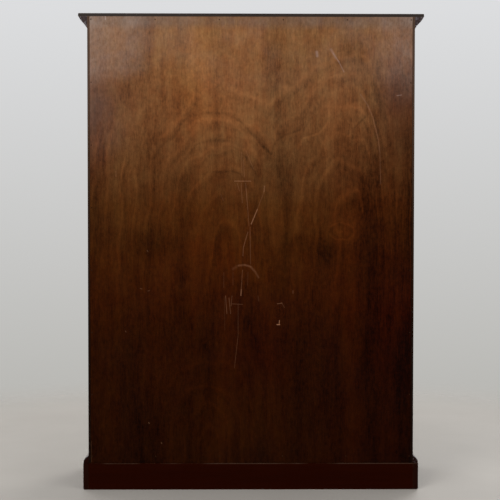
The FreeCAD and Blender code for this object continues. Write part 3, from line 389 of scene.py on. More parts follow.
# Scratches, scuffs and drips: both ends in the reference view, half width in mm, strength
MARKS = (
    (234.6, 181.1, 250.8, 181.1, 2, 0.85),
    (243.6, 160, 244.3, 177, 1.6, 0.45),
    (241.5, 152, 242, 176, 1.4, 0.3),
    (246, 151, 253.5, 169, 2.2, 0.28),
    (237.3, 183.4, 239.5, 191, 1.6, 0.35),
    (241.2, 182.8, 242.3, 203, 1.6, 0.38),
    (245.6, 183, 247.8, 209.5, 1.8, 0.5),
    (247.8, 209.5, 249, 226, 1.6, 0.35),
    (220.6, 194, 223.3, 200.5, 2, 0.2),
    (264.5, 186, 264, 191.7, 2.8, 0.6),
    (264, 191.7, 257.3, 209.5, 1.8, 0.28),
    (257.3, 209.5, 251.2, 224, 2.6, 0.95),
    (247.9, 232, 243.4, 247.3, 1.8, 0.5),
    (243.4, 247.3, 242.9, 256, 1.8, 0.45),
    (250, 227, 250.6, 264, 1.8, 0.32),
    (233, 269, 237.5, 266, 7, 0.12),
    (238.5, 265.6, 244.5, 264.9, 5, 0.34),
    (244.5, 264.9, 250.5, 266.6, 5, 0.38),
    (250.5, 266.6, 255, 271.6, 5.4, 0.28),
    (255, 271.6, 258.6, 277.5, 5, 0.2),
    (242.5, 270, 241.3, 288.8, 1.8, 0.4),
    (233, 272, 233, 285, 1.8, 0.15),
    (223.8, 272.5, 223.8, 287.5, 1.8, 0.13),
    (248, 272, 247.5, 285, 1.8, 0.13),
    (241.3, 289.6, 240.9, 295.4, 2.8, 0.7),
    (225.6, 296, 226.9, 313.6, 2.2, 0.34),
    (229, 298, 230.6, 313.6, 2.2, 0.36),
    (232, 296, 231, 306, 2.2, 0.3),
    (231, 303.8, 242.5, 304.4, 1.6, 0.34),
    (238.1, 304, 238.1, 335, 1.5, 0.22),
    (238.1, 335, 234.4, 368, 1.5, 0.24),
    (224.4, 297, 224.8, 330, 1.5, 0.11),
    (277.5, 303.8, 281.9, 303.1, 2.2, 0.55),
    (281.9, 303.1, 284.4, 307.5, 2, 0.2),
    (277, 324.6, 279.6, 324.6, 2.6, 1.6),
    (279.2, 324.4, 279.4, 320.5, 2, 1.3),
    (258, 296, 258.8, 301, 2.4, 0.13),
    (293, 291, 293, 293, 4, 0.2),
    (147.2, 250.5, 147.8, 251.5, 3, 0.35),
    (140.3, 288.4, 142, 289, 2.4, 0.3),
    (148, 291, 149.5, 290.5, 2.4, 0.3),
    (125.4, 331, 126, 332, 2.4, 0.3),
    (148.8, 422.5, 149.2, 423.5, 2.4, 0.5),
    (161.3, 442.5, 161.7, 443.5, 2.4, 0.5),
    (331, 49.5, 336, 58, 7, 0.4),
    (333, 53, 339, 62, 3.2, 0.75),
    (339, 62, 344, 72, 2.6, 0.55),
    (316.8, 52, 317.3, 56, 7, 0.75),
    (397, 95.6, 401.5, 95, 2.4, 0.7),
    (91.5, 441, 91.5, 462, 1.6, 0.16),
    (105.3, 16.5, 105.3, 19.5, 2.6, 1.6),
    (116, 171, 116, 176.5, 1.8, 0.4),
    (360.5, 94.5, 367.7, 105, 3.4, 0.2),
    (367.7, 105, 373, 118, 3.4, 0.34),
    (373, 118, 378, 138, 3.4, 0.4),
    (378, 138, 380, 153, 3.4, 0.32),
    (380, 153, 380.6, 184, 3, 0.22),
)

# Single growth lines: half width in mm, how much paler, and their places in the reference view
GROWTH_LINES = (
    (8, -0.25, (181, 124), (190, 116), (207, 112), (229, 114), (239, 120), (250, 132),
        (262, 145), (271, 154)),
    (8, -0.25, (190, 153), (196, 145), (212, 140), (230, 141), (239, 147), (246, 158), (256, 174)),
    (7, -0.2, (271, 154), (276, 141), (286, 134), (300, 130)),
    (6, -0.2, (203, 174), (216, 171), (230, 171), (243, 175)),
    (9, 0.2, (186, 129), (196, 121), (212, 118), (229, 121), (240, 130), (248, 142), (256, 154)),
    (6, 0.2, (297, 150), (303, 139), (320, 133), (328, 122), (329, 110)),
    (6, 0.2, (322, 142), (327, 150), (327, 162), (325, 180)),
    (6, -0.22, (352, 142), (354, 128), (365, 117)),
)

# Broad patches of the varnish, one of them painted shade along its foot above the plinth: centre and
# reach across, centre and reach up, and how much lighter
PATCHES = (
    (0.05, 0.12, 0.69, 0.1, 0.22),
    (0.44, 0.06, 0.72, 0.1, 0.16),
    (0.19, 0.06, 0.37, 0.13, 0.2),
    (0.11, 0.08, 1.01, 0.06, 0.14),
    (0.42, 0.09, 0.6, 0.2, 0.22),
    (-0.34, 0.08, 0.7, 0.15, -0.3),
    (-0.24, 0.06, 0.76, 0.1, -0.15),
    (-0.295, 0.05, 0.81, 0.06, 0.15),
    (0.19, 0.06, 0.89, 0.17, -0.25),
    (0.3, 0.13, 0.77, 0.08, -0.42),
    (-0.24, 0.08, 0.735, 0.06, -0.32),
    (-0.47, 0.05, 1.01, 0.09, 0.22),
    (-0.48, 0.05, 1.27, 0.13, -0.2),
    (0.23, 0.06, 0.96, 0.05, -0.25),
    # Painted shade along the foot of the back, above the plinth
    (0, 0.4, 0.1, 0.06, -0.1),
    (-0.3, 0.04, 0.72, 0.05, 0.12),
    (0.27, 0.13, 0.38, 0.15, 0.22),
    (-0.14, 0.09, 0.77, 0.05, -0.22),
    (-0.495, 0.035, 0.78, 0.3, -0.3),
    (-0.4, 0.07, 0.38, 0.25, 0.4),
    (-0.43, 0.06, 0.12, 0.12, 0.2),
    (-0.3, 0.12, 1.18, 0.2, 0.28),
    (0.1, 0.08, 1.25, 0.16, 0.12),
    (0.33, 0.2, 0.35, 0.3, 0.18),
    (-0.3, 0.12, 0.35, 0.35, -0.15),
    (-0.46, 0.1, 0.2, 0.25, 0.35),
    (-0.12, 0.06, 0.95, 0.25, -0.1),
)

# Painted shade at the edges and painted light in the middle: how much lighter, where across, and where
# up if not all the way.
# A range that is above rises from its first number to its second. A bell peaks at the first
PAINTED_SHADES = (
    (-0.4, ("above", -0.27, -0.45), ("above", 1.42, 1.2)),
    (-0.2, ("above", -0.42, -0.49), ("above", 1.2, 1.0)),
    (-0.12, ("above", 0.42, 0.49)),
    (-0.18, ("above", 0.44, 0.49), ("bell", 1.02, 0.36)),
    (0.14, ("bell", 0.11, 0.24)),
    (-0.12, ("bell", -0.09, 0.11), ("above", 0.85, 1.0)),
    (-0.14, ("bell", -0.013, 0.009), ("bell", 1.21, 0.13)),
)

# Shifts of the varnish's colour, the last two a painted purplish sheen along the upper side edges: what
# multiplies it, and the places where it does
TINTS_AND_SHEEN = (
    (
        (1.02, 0.9, 0.72, 1),
        (("bell", 0.19, 0.16), ("bell", 1.24, 0.22)),
        (("bell", 0.16, 0.22), ("bell", 0.75, 0.35)),
    ),
    (
        (1.0, 0.75, 0.6, 1),
        (("above", -0.1, -0.42), ("above", 1.2, 0.85)),
        (("bell", -0.02, 0.2), ("bell", 0.43, 0.22)),
    ),
    ((1.0, 0.78, 0.75, 1), (("above", -0.34, -0.42), ("bell", 0.5, 0.3))),
    ((1.0, 0.83, 0.93, 1), (("above", -0.38, -0.45), ("bell", 1.24, 0.2))),
    ((1.03, 0.8, 0.78, 1), (("above", 0.4, 0.48), ("bell", 1.12, 0.32))),
)

# The bruise at the left edge, the calm area at the right, and the fleckier one near the top
BRUISE = (("above", 0.36, 0.48), ("bell", 1.18, 0.17))
BRUISE_DARKNESS = 0.26
CALM = (("above", -0.36, -0.46), ("bell", 1.15, 0.3))
CALM_SHARE = 0.5
FLECKED = (("bell", 0.16, 0.22), ("bell", 1.27, 0.26))
FLECKED_GAIN = 0.6

# Haze with a painted sheen of reflected light in the corners and along the edges: how much, where
# across, and where up
HAZES_AND_SHEEN = (
    (0.95, ("above", -0.35, -0.48), ("above", 1.15, 1.4)),
    (0.35, ("above", 0.38, 0.5), ("above", 0.95, 1.25)),
    (0.15, ("above", 0.33, 0.42), ("bell", 1.15, 0.15)),
)
HAZE_AND_SHEEN_COLOUR = linear(160, 142, 130)
HAZE_AND_SHEEN_SHARE = 0.27

# A painted shadow under the cap board, on a strip at the top of the back, with some haze
STRIP_HEIGHTS = (1.425, 1.455)
CAP_SHADOW_DARKNESS = 0.3
STRIP_HAZE = 0.45

# Layers of the grain: scale, stretch along it, detail, roughness, and share in the figure
LAYERS = {
    "bands": (13, 0.1, 3, 0.55, 1.0),
    "streaks": (48, 0.13, 3, 0.6, 0.85),
    "flecks": (190, 0.45, 3, 0.65, 0.75),
    "pores": (560, 0.07, 2, 0.55, 0.8),
    "broad": (4.5, 0.5, 3, 0.55, 0.9),
    "mottle": (80, 0.85, 4, 0.65, 0.75),
    "blotches": (30, 0.8, 2, 0.55, 0.4),
}
LINE_SHARE = 0.2

# The grain's middle tone, its darkest, and what the lower half adds
MIDDLE_LEVEL = 0.96
DARKEST_LEVEL = 0.25
LOWER_HALF = (0.85, 0.5)
LOWER_BANDS = 0.25
LOWER_CONTRAST = 0.3

# The varnish takes these colours where the grain is dark and where it is pale
DARK_GRAIN = (1.04, 0.92, 0.85, 1)
PALE_GRAIN = (0.97, 1.07, 1.1, 1)

SCRATCH_COLOUR = linear(182, 128, 94)
UPPER_SCRATCH_COLOUR = linear(172, 148, 140)
SCRATCH_SHARE = 0.44

# Bare wood shows on the veneer's inner side, in front of this depth
INNER_DEPTHS = (0.1735, 0.1725)
INNER_STOPS = (0.3, 0.5, 0.72)

VENEER_EDGE = 0.8 * MM
VENEER_RELIEF = 0.3 * MM
VARNISH_SHINE = 0.01
VARNISH_COAT_ROUGHNESS = 0.3


# The varnish's tone against height, with painted shade that darkens it downwards
def back_tone_and_shade(graph, height):
    return graph.ramp(height / CABINET_HEIGHT, BACK_TONES_AND_SHADE, smooth=False)


def soft(value, rise):
    """How far a value is in a soft range, which is above or bell with two numbers."""
    kind, first, second = rise
    return value.above(first, second) if kind == "above" else value.bell(first, second)


def stroke_group():
    """How near a point is to a short straight stroke, as a share of its half width."""
    tree = bpy.data.node_groups.new("stroke", "ShaderNodeTree")
    for name, kind in (
        ("Point", "NodeSocketVector"),
        ("Start", "NodeSocketVector"),
        ("End", "NodeSocketVector"),
        ("Width", "NodeSocketFloat"),
    ):
        tree.interface.new_socket(name, in_out="INPUT", socket_type=kind)
    tree.interface.new_socket("Mask", in_out="OUTPUT", socket_type="NodeSocketFloat")
    graph = Graph(tree)
    point, start, end, width = graph.add("NodeGroupInput").outputs[:4]
    reach = graph.vector_math("SUBTRACT", end, start).outputs[0]
    offset = graph.vector_math("SUBTRACT", point, start).outputs[0]
    along = Value(graph, graph.vector_math("DOT_PRODUCT", offset, reach).outputs["Value"])
    length = Value(graph, graph.vector_math("DOT_PRODUCT", reach, reach).outputs["Value"])
    nearest = graph.scaled(reach, (along / length).clipped())
    gap = Value(graph, graph.vector_math("DISTANCE", offset, nearest).outputs["Value"])
    graph.add("NodeGroupOutput", (gap / width).above(1, 0))
    return tree


def growth_lines(distance, spacing):
    """Rotary-cut figure: each line is pale outside, dark inside, and fades towards the next."""
    share = (distance / spacing).fraction()
    outside = share.bell(0.17, 0.17) * 1.1
    between = (1 - share) * share.above(0, 0.2) * 0.4
    inside = share.bell(0.87, 0.13) * 0.5
    return outside + between - inside


class Veneer:
    """The picture on the back, as values that hang on where a point lies across and up."""

    def __init__(self, graph):
        self.graph = graph
        self.x, self.depth, self.height = graph.split(graph.place())
        self.strokes = stroke_group()
        self.layers = {name: self.grain(*noise) for name, (*noise, _) in LAYERS.items()}

    def grain(self, scale, stretch, detail=3, roughness=0.55):
        """Noise about 0 that is drawn out along the grain."""
        point = self.graph.combine(self.x, self.depth, self.height * stretch)
        return self.graph.noise(point, scale, detail, roughness) - 0.5

    def area(self, across, up=None):
        """A soft area of the back, over its whole height where no place up is given."""
        mask = soft(self.x, across)
        return mask * soft(self.height, up) if up else mask

    def hill(self, centre, top, stretch, left=1.0, right=1.0):
        """A distance whose level lines are arches with legs that run straight down."""
        offset = self.x - centre
        across = offset.at_least(0) / left + offset.at_most(0) / right
        rise = (self.height - top).at_least(0) / stretch
        return (across * across + rise * rise).root()

    def eye(self, across, down, stretch):
        """The distance from a knot that the reference view shows at a pixel."""
        centre = on_back(across, down)
        offset = self.x - centre.x
        rise = (self.height - centre.z) / stretch
        return (offset * offset + rise * rise).root()

    def stroke(self, point, start, end, width):
        """The mask of one stroke between two places of the reference view."""
        ends = [(place.x, 0, place.z) for place in (on_back(*start), on_back(*end))]
        node = self.graph.add("ShaderNodeGroup", node_tree=self.strokes)
        self.graph.fill(node, dict(enumerate((point, *ends, width * MM))))
        return Value(self.graph, node.outputs[0])

    def scratches(self):
        """Pale scratches and scuffs, where the varnish is rubbed."""
        point = self.graph.combine(self.x, 0, self.height)
        total = self.graph.number(0)
        for across, down, last_across, last_down, width, strength in MARKS:
            mask = self.stroke(point, (across, down), (last_across, last_down), width)
            total = total.at_least(mask * strength)
        return total * (self.layers["pores"] * 1.2 + 0.85)

    def single_lines(self):
        """The growth lines that stand out one by one, a little crooked and faded in places."""
        crook = self.grain(30, 0.8, 2) * 0.014
        point = self.graph.combine(self.x + crook, 0, self.height - crook)
        total = self.graph.number(0)
        for width, strength, *places in GROWTH_LINES:
            line = self.graph.number(0)
            for start, end in zip(places, places[1:]):
                line = line.at_least(self.stroke(point, start, end, width))
            total = total + line * strength
        return total * (self.grain(16, 0.7) * 2.4 + 1).at_least(0)

    def figure_lines(self):
        """Growth lines round two arches, a lower arch, a knot and a pin knot."""
        x, height = self.x, self.height
        wobble = self.grain(6, 0.7, 2) * 0.085 + self.grain(22, 0.7, 2) * 0.009
        left = self.hill(centre=0.082, top=0.75, stretch=2.0)
        right = self.hill(centre=-0.33, top=0.83, stretch=2.1, left=1.5, right=0.5)
        arches = self.graph.math("SMOOTH_MIN", left, right, 0.05) + wobble
        below_top = (height + x * 0.3).above(1.31, 1.19) * 0.9 + 0.1
        shown = self.grain(8, 0.8).above(-0.2, 0.06) * height.above(0.35, 0.9) * below_top
        lines = growth_lines(arches, spacing=0.041) * (shown * 0.9 + 0.1)
        lines = lines + growth_lines(arches + 0.017, spacing=0.029) * shown * 0.4
        low_arch = self.hill(centre=0.13, top=0.12, stretch=2.0) + wobble
        low_area = height.above(0.5, 0.36) * x.bell(0.12, 0.3)
        lines = lines + growth_lines(low_arch, spacing=0.036) * low_area * 0.8
        knot = self.eye(across=341, down=232, stretch=0.65) + wobble * 0.5 + self.grain(60, 0.8) * 0.016
        lines = lines + growth_lines(knot, spacing=0.036) * knot.above(0.085, 0.05) * 1.1
        pin_knot = self.eye(across=278.5, down=312, stretch=1.1) + wobble * 0.3
        return lines + growth_lines(pin_knot, spacing=0.0095) * pin_knot.above(0.034, 0.024)

    def level(self):
        """How light the varnish is, about 1, from the grain, the painted shade and light, and the
        patches.
        """
        bruise = self.area(*BRUISE)
        grains = self.figure_lines() * LINE_SHARE + self.single_lines()
        for name, (*_, share) in LAYERS.items():
            grains = grains + self.layers[name] * share
        grains = grains + self.layers["mottle"] * self.area(*FLECKED) * FLECKED_GAIN
        grains = grains * (1 - (bruise + self.area(*CALM)) * CALM_SHARE)
        lower = self.height.above(*LOWER_HALF)
        grains = grains + (self.layers["broad"] + self.layers["bands"]) * lower * LOWER_BANDS
        level = grains * (lower * LOWER_CONTRAST + 1) - bruise * BRUISE_DARKNESS + MIDDLE_LEVEL
        # Painted shade at the edges and painted light in the middle
        for amount, *place in PAINTED_SHADES:
            level = level + self.area(*place) * amount
        for across, reach, up, rise, amount in PATCHES:
            level = level + self.x.bell(across, reach) * self.height.bell(up, rise) * amount
        return level.at_least(DARKEST_LEVEL)

    def tone(self):
        """The colour of the varnish with its painted shade, warmer where the grain is dark, with its
        shifts and painted sheen.
        """
        warmth = self.layers["streaks"] + self.layers["broad"] + self.layers["blotches"]
        warm = self.graph.mix(warmth * 1.6 + 0.5, DARK_GRAIN, PALE_GRAIN)
        tone = self.graph.tinted(back_tone_and_shade(self.graph, self.height), warm)
        # Colour shifts, the last two a painted purplish sheen along the upper side edges
        for tint, first, *others in TINTS_AND_SHEEN:
            mask = self.area(*first)
            for place in others:
                mask = mask + self.area(*place)
            tone = self.graph.tinted(tone, tint, mask)
        return tone

    def haze_and_sheen(self, clouds, strip):
        """Bloom of the old varnish with a painted sheen of reflected light, which lie in clouds near
        the top and in the corners.
        """
        slope = self.height + self.x * 0.12 + self.grain(12, 1) * 0.06
        haze_and_sheen = self.x.above(0.29, 0.41) * slope.above(1.3, 1.37) * 0.8 + strip * STRIP_HAZE
        for amount, *place in HAZES_AND_SHEEN:
            haze_and_sheen = haze_and_sheen + self.area(*place) * amount
        haze_and_sheen = haze_and_sheen + self.height.above(1.2, 1.45) * clouds * 0.25
        return haze_and_sheen * (clouds * 0.5 + self.layers["flecks"] * 1.2 + 0.7)

    def inner_side(self):
        """The bare side of the veneer, which shows behind the shelves."""
        figure = (self.layers["streaks"] + self.layers["flecks"]) * 0.5 + self.layers["bands"] * 0.6
        return self.graph.ramp(figure + 0.5, tuple(zip(INNER_STOPS, INNER)))


def back_veneer():
    """Rotary-cut veneer under old varnish: arches, a knot, streaks, haze with painted sheen, scratches,
    and painted shade.
    """
    material, graph, shader, _ = new_material("back_veneer")
    veneer = Veneer(graph)
    point = graph.combine(veneer.x, veneer.depth, veneer.height)
    clouds = graph.noise(point, scale=9, detail=4, roughness=0.6).above(0.3, 0.7)
    strip = veneer.height.above(*STRIP_HEIGHTS)
    # Varnish tone with its painted shade and painted light
    colour = graph.scaled(veneer.tone(), veneer.level())
    # Painted shadow under the cap board
    colour = graph.scaled(colour, 1 - strip * CAP_SHADOW_DARKNESS)
    # Haze with a painted sheen of reflected light
    colour = graph.mix(veneer.haze_and_sheen(clouds, strip) * HAZE_AND_SHEEN_SHARE, colour, HAZE_AND_SHEEN_COLOUR)
    marks = veneer.scratches()
    upper = veneer.height.above(1.15, 1.25)
    scratched = graph.mix(upper, SCRATCH_COLOUR, UPPER_SCRATCH_COLOUR)
    colour = graph.mix(marks * SCRATCH_SHARE, colour, scratched)
    colour = graph.mix(veneer.depth.above(*INNER_DEPTHS), colour, veneer.inner_side())
    coat = veneer.height.above(1.0, 1.4) * 0.14 + 0.02
    normal, _ = graph.bevelled(VENEER_EDGE)
    layers = veneer.layers
    relief = layers["streaks"] * 0.6 + layers["flecks"] * 0.5 + layers["pores"] * 0.3 - marks * 0.5
    looks = {
        "Base Color": colour,
        "Roughness": clouds * 0.15 + marks * 0.3 + 0.4,
        "Specular IOR Level": VARNISH_SHINE,
        "Coat Weight": coat * (clouds * 0.6 + 0.6),
        "Coat Roughness": VARNISH_COAT_ROUGHNESS,
        "Normal": graph.bump(relief, VENEER_RELIEF, normal),
    }
    graph.fill(shader, looks)
    return material


# Wood whose rear edges show from behind

# The rear faces start at this depth
REAR_DEPTHS = (0.155, 0.165)

# A painted highlight along the upper edges, down from the top, and pale chips with painted glints on
# the mouldings
UPPER_EDGE = (3 * MM, 1 * MM)
UPPER_EDGE_HIGHLIGHT_COLOUR = linear(120, 96, 80)
UPPER_EDGE_HIGHLIGHT_SHARE = 0.16
CHIP_AND_GLINT_COLOUR = linear(150, 146, 150)
# Pale worn edges, which also serve as a painted edge highlight
WORN_AND_HIGHLIGHT_COLOUR = linear(140, 104, 80)
REAR_ROUGHNESS = 0.36
POLISH_SMOOTHNESS = 0.14

STRIP_TINT = (0.38, 0.52, 0.95)
# The cornice ends' grey is partly a painted reflection of the pale surroundings in their end grain
END_TINT_AND_REFLECTION = (0.2, 0.36, 1.05)
FOOT_TINT = (0.3, 0.2, 0.2)

# The way of the grain, the rear edges' tint and specular level, and how much pale chips and painted
# glints they carry
REAR_WOOD = {
    "side_left": ("z", STRIP_TINT, 0.04, 0.0),
    "side_right": ("z", STRIP_TINT, 0.04, 0.0),
    "cap_board": ("x", (0.13, 0.22, 0.5), 0.1, 0.0),
    "plinth_rear_rail": ("x", (0.96, 0.54, 0.34), 0.01, 0.0),
    "cornice_left": ("y", END_TINT_AND_REFLECTION, 0.12, 0.5),
    "cornice_right": ("y", END_TINT_AND_REFLECTION, 0.12, 0.5),
    "plinth_left": ("y", FOOT_TINT, 0.02, 0.0),
    "plinth_right": ("y", FOOT_TINT, 0.02, 0.0),
    "plinth_moulding_left": ("y", FOOT_TINT, 0.02, 0.35),
    "plinth_moulding_right": ("y", FOOT_TINT, 0.02, 0.0),
}


def rear_wood(node, along, seed, tint, shine, chips_and_glints):
    """Carcass wood whose rear edges follow the back's tones with their painted shade, and whose other
    faces are polished, with painted shade towards the floor.
    """
    material, graph, shader, _ = new_material("wood_" + node)
    across, through, length = grain_place(graph, along, seed)
    figure, pores = wood_figure(graph, across, through, length)
    # Painted shade: polished faces darker towards the floor
    front = graph.scaled(figured_colour(graph, figure, pores, POLISHED), foot_shade(graph))
    _, depth, height = graph.split(graph.place())
    # Rear faces take the back's tones with their painted shade
    rear = graph.tinted(back_tone_and_shade(graph, height), (*tint, 1))
    rear = graph.scaled(rear, figure * 0.7 + 0.65)
    top = box_of(node)[1].z
    # Painted highlight: a pale, broken line along the upper edge, where the arris catches light
    highlight_patches = graph.noise(graph.place(), scale=9, detail=2).above(0.35, 0.6)
    upper_edge_highlight = height.above(*(top - drop for drop in UPPER_EDGE)) * highlight_patches
    rear = graph.mix(upper_edge_highlight * UPPER_EDGE_HIGHLIGHT_SHARE, rear, UPPER_EDGE_HIGHLIGHT_COLOUR)
    # Pale chips and painted glints of reflected light on the mouldings' rear ends
    chip_and_glint_mask = graph.noise(graph.place(), scale=130, roughness=0.6).above(0.5, 0.62)
    rear = graph.mix(chip_and_glint_mask * chips_and_glints, rear, CHIP_AND_GLINT_COLOUR)
    behind = depth.above(*REAR_DEPTHS)
    colour = graph.mix(behind, front, rear)
    colour = graph.mix(end_grain(graph, along) * 0.5, colour, POLISHED[0])
    normal, edge = graph.bevelled(EDGE_RADIUS)
    # Worn edges, lightened, which also serve as a painted edge highlight
    worn_and_highlit = edge * graph.noise(graph.place(), scale=60, roughness=0.6).above(0.45, 0.7)
    rough = graph.noise(graph.place(), scale=14, roughness=0.6) * 0.2 + REAR_ROUGHNESS
    looks = {
        "Base Color": graph.mix(worn_and_highlit * 0.35, colour, WORN_AND_HIGHLIGHT_COLOUR),
        "Roughness": rough - (1 - behind) * POLISH_SMOOTHNESS + pores * 0.1,
        "Specular IOR Level": behind * (shine - POLISH_SHINE) + POLISH_SHINE,
        "Coat Weight": (1 - behind) * POLISH_COAT,
        "Coat Roughness": COAT_ROUGHNESS,
        "Normal": wood_relief(graph, figure, pores, normal),
    }
    graph.fill(shader, looks)
    return material


# Metal and glass

GLASS_TINT = (0.95, 0.985, 0.965, 1)
GLASS_IOR = 1.28
METAL_EDGE = 0.4 * MM
METAL_RELIEF = 0.04 * MM


def metal(name, colour, tarnish, rough):
    """Old metal: tarnish in its hollows and fine scratches along its faces."""
    material, graph, shader, _ = new_material(name)
    place = graph.place()
    x, y, z = graph.split(place)
    cloud = graph.noise(place, scale=130, detail=4, roughness=0.6)
    fine = graph.noise(graph.combine(x, y, z * 8), scale=700, detail=2)
    normal, edge = graph.bevelled(METAL_EDGE)
    mixed = graph.mix(cloud.above(0.4, 0.75) * (1 - edge * 0.8), colour, tarnish)
    looks = {
        "Base Color": graph.mix(edge * 0.4, mixed, colour),
        "Metallic": 1,
        "Roughness": cloud * 0.25 + fine * 0.12 + rough,
        "Normal": graph.bump(fine, METAL_RELIEF, normal),
    }
    graph.fill(shader, looks)
    return material


def pane_glass():
    """Old window glass, faintly green, that lets the lamps light what is behind."""
    material, graph, shader, output = new_material("window_glass")
    looks = {"Base Color": GLASS_TINT, "Transmission Weight": 1, "Roughness": 0, "IOR": GLASS_IOR}
    graph.fill(shader, looks)
    clear = graph.add("ShaderNodeBsdfTransparent", GLASS_TINT)
    shadow = graph.add("ShaderNodeLightPath").outputs["Is Shadow Ray"]
    graph.feed(output.inputs["Surface"], graph.blended(shadow, shader, clear))
    return material


# Materials for the CAD nodes

INNER_WOOD = (
    "top_board bottom_board shelf_lower shelf_middle shelf_upper shelf_bearers"
    " stop_strip_top stop_strip_bottom glue_blocks"
).split()
FRONT_TO_BACK = ("shelf_bearers", "glue_blocks")
BRASS_ENDS = ("_keeper", "_leaves", "_pins", "_plate", "_bolt", "lock_case", "escutcheon")
STEEL = ("key", "lock_bolt")


def give(piece, material):
    piece.data.materials.clear()
    piece.data.materials.append(material)


def wood_of(name, seed):
    """The wood of a node, whose grain runs the piece's long way."""
    if name in REAR_WOOD:
        along, tint, shine, chips_and_glints = REAR_WOOD[name]
        return rear_wood(name, along, seed, tint, shine, chips_and_glints)
    inner = name in INNER_WOOD
    level = inner or name.endswith(("_rail", "_front"))
    along = "y" if name in FRONT_TO_BACK else "x" if level else "z"
    level_bars = LEVEL_BARS if name.endswith("_glazing_bars") else ()
    tones, gloss = (INNER, INNER_GLOSS) if inner else (POLISHED, 1.0)
    return wood(name, along, seed, tones, gloss, level_bars)


def dress_nodes():
    """Gives every CAD node its material, and returns the metals for the small pieces."""
    brass = metal("aged_brass", linear(196, 152, 82), linear(112, 78, 40), rough=0.22)
    steel = metal("dull_steel", linear(150, 148, 144), linear(88, 80, 74), rough=0.3)
    brads = metal("varnished_brads", linear(62, 40, 28), linear(34, 18, 10), rough=0.5)
    glass = pane_glass()
    for seed, (name, piece) in enumerate(sorted(nodes.items())):
        if name == "back_panel":
            material = back_veneer()
        elif name == "back_panel_brads":
            material = brads
        elif name in STEEL:
            material = steel
        elif name.endswith(BRASS_ENDS):
            material = brass
        elif name.endswith("_panes"):
            material = glass
        else:
            material = wood_of(name, seed)
        give(piece, material)
    return brass, steel


# Stage, light and camera

# The backdrop from straight down, 0, to straight up, 1
BACKDROP = (
    (0.0, linear(172, 168, 162)),
    (0.405, linear(176, 172, 166)),
    (0.425, linear(185, 184, 180)),
    (0.6, linear(222, 223, 225)),
)
EVEN_LIGHT = (0.93, 0.96, 1.0, 1)
EVEN_STRENGTH = 0.55

FLOOR_RADIUS = 3.2
FLOOR_SIDES = 96
FLOOR_LEVEL = -0.3 * MM
FLOOR_FADE = (1.35, 2.4)
FLOOR_TONES = ((0.3, linear(167, 161, 153)), (0.7, linear(172, 166, 158)))
FLOOR_ROUGHNESS = 0.6
FLOOR_SHINE = 0.15

# Each softbox: place, the height it points at, and watts
SOFTBOX_SIZE = 2.0
SOFTBOXES = {
    "key_rear": ((1.9, 3.4, 3.0), 0.9, 95),
    "fill_rear": ((-2.6, 2.8, 2.2), 0.8, 38),
    "key_front": ((-1.9, -3.4, 3.0), 0.9, 95),
    "fill_front": ((2.6, -2.8, 2.2), 0.8, 38),
}
SENSOR_WIDTH = 36


def add_object(name, data):
    thing = bpy.data.objects.new(name, data)
    bpy.context.collection.objects.link(thing)
    return thing


def make_world():
    """A pale backdrop that the camera, gloss and glass see, and an even light for everything else."""
    world = bpy.data.worlds.new("studio")
    bpy.context.scene.world = world
    world.use_nodes = True
    graph = Graph(world.node_tree)
    direction = graph.add("ShaderNodeTexCoord").outputs["Generated"]
    rise = graph.split(direction)[2]
    seen = graph.ramp(rise * 0.5 + 0.5, BACKDROP, smooth=False)
    backdrop = graph.add("ShaderNodeBackground", seen)
    even = graph.add("ShaderNodeBackground", EVEN_LIGHT, EVEN_STRENGTH)
    path = graph.add("ShaderNodeLightPath")
    sees = graph.math("MAXIMUM", path.outputs["Is Camera Ray"], path.outputs["Is Glossy Ray"])
    sees = sees.at_least(path.outputs["Is Transmission Ray"])
    graph.add("ShaderNodeOutputWorld", graph.blended(sees, even, backdrop))


def circle(radius, sides):
    """Points on a circle, from the x axis towards the y axis."""
    angles = [math.tau * k / sides for k in range(sides)]
    return [(radius * math.cos(angle), radius * math.sin(angle)) for angle in angles]


def make_floor():
    """A round pale floor that fades into the backdrop."""
    rim = [(x, y, FLOOR_LEVEL) for x, y in circle(FLOOR_RADIUS, FLOOR_SIDES)]
    mesh = bpy.data.meshes.new("floor")
    mesh.from_pydata(rim, [], [range(FLOOR_SIDES)])
    floor = add_object("floor", mesh)
    material, graph, shader, output = new_material("pale_floor")
    x, y, _ = graph.split(graph.place())
    flat = graph.combine(x, y, 0)
    cloud = graph.noise(flat, scale=3, detail=4, roughness=0.55)
    grit = graph.noise(flat, scale=160, detail=2)
    looks = {
        "Base Color": graph.ramp(cloud * 0.7 + grit * 0.3, FLOOR_TONES),
        "Roughness": FLOOR_ROUGHNESS,
        "Specular IOR Level": FLOOR_SHINE,
    }
    graph.fill(shader, looks)
    distance = (x * x + y * y).root()
    clear = graph.add("ShaderNodeBsdfTransparent")
    faded = graph.blended(distance.above(*FLOOR_FADE), shader, clear)
    graph.feed(output.inputs["Surface"], faded)
    give(floor, material)


def make_lights():
    for name, (place, level, watts) in SOFTBOXES.items():
        light = bpy.data.lights.new(name, "AREA")
        light.shape = "RECTANGLE"
        light.size = SOFTBOX_SIZE
        light.size_y = SOFTBOX_SIZE
        light.energy = watts
        lamp = add_object(name, light)
        lamp.location = place
        towards = Vector((0, 0, level)) - Vector(place)
        lamp.rotation_euler = towards.to_track_quat("-Z", "Y").to_euler()


def make_camera():
    """The reference view."""
    data = bpy.data.cameras.new("camera")
    data.sensor_width = SENSOR_WIDTH
    data.lens = SENSOR_WIDTH * FOCAL_PIXELS / PHOTO_SIZE
    camera = add_object("camera", data)
    camera.matrix_world = Matrix.Translation(CAMERA_PLACE) @ CAMERA_TURN.to_4x4()
    bpy.context.scene.camera = camera


# Small pieces that only the scene has

# How far a head reaches into what it sits on
SUNK = 0.2 * MM

# Shares of a head's radius: half the slot's width, the slot's reach, and the crown's edge
SLOT_HALF = 0.16
SLOT_REACH = 0.97
CROWN = 0.94
HEAD_STEPS = 14

# Shares of what stands proud: the head's upright side, and the floor of the slot
SIDE_SHARE = 0.55
SLOT_FLOOR = 0.25
DOME_STEPS = 6


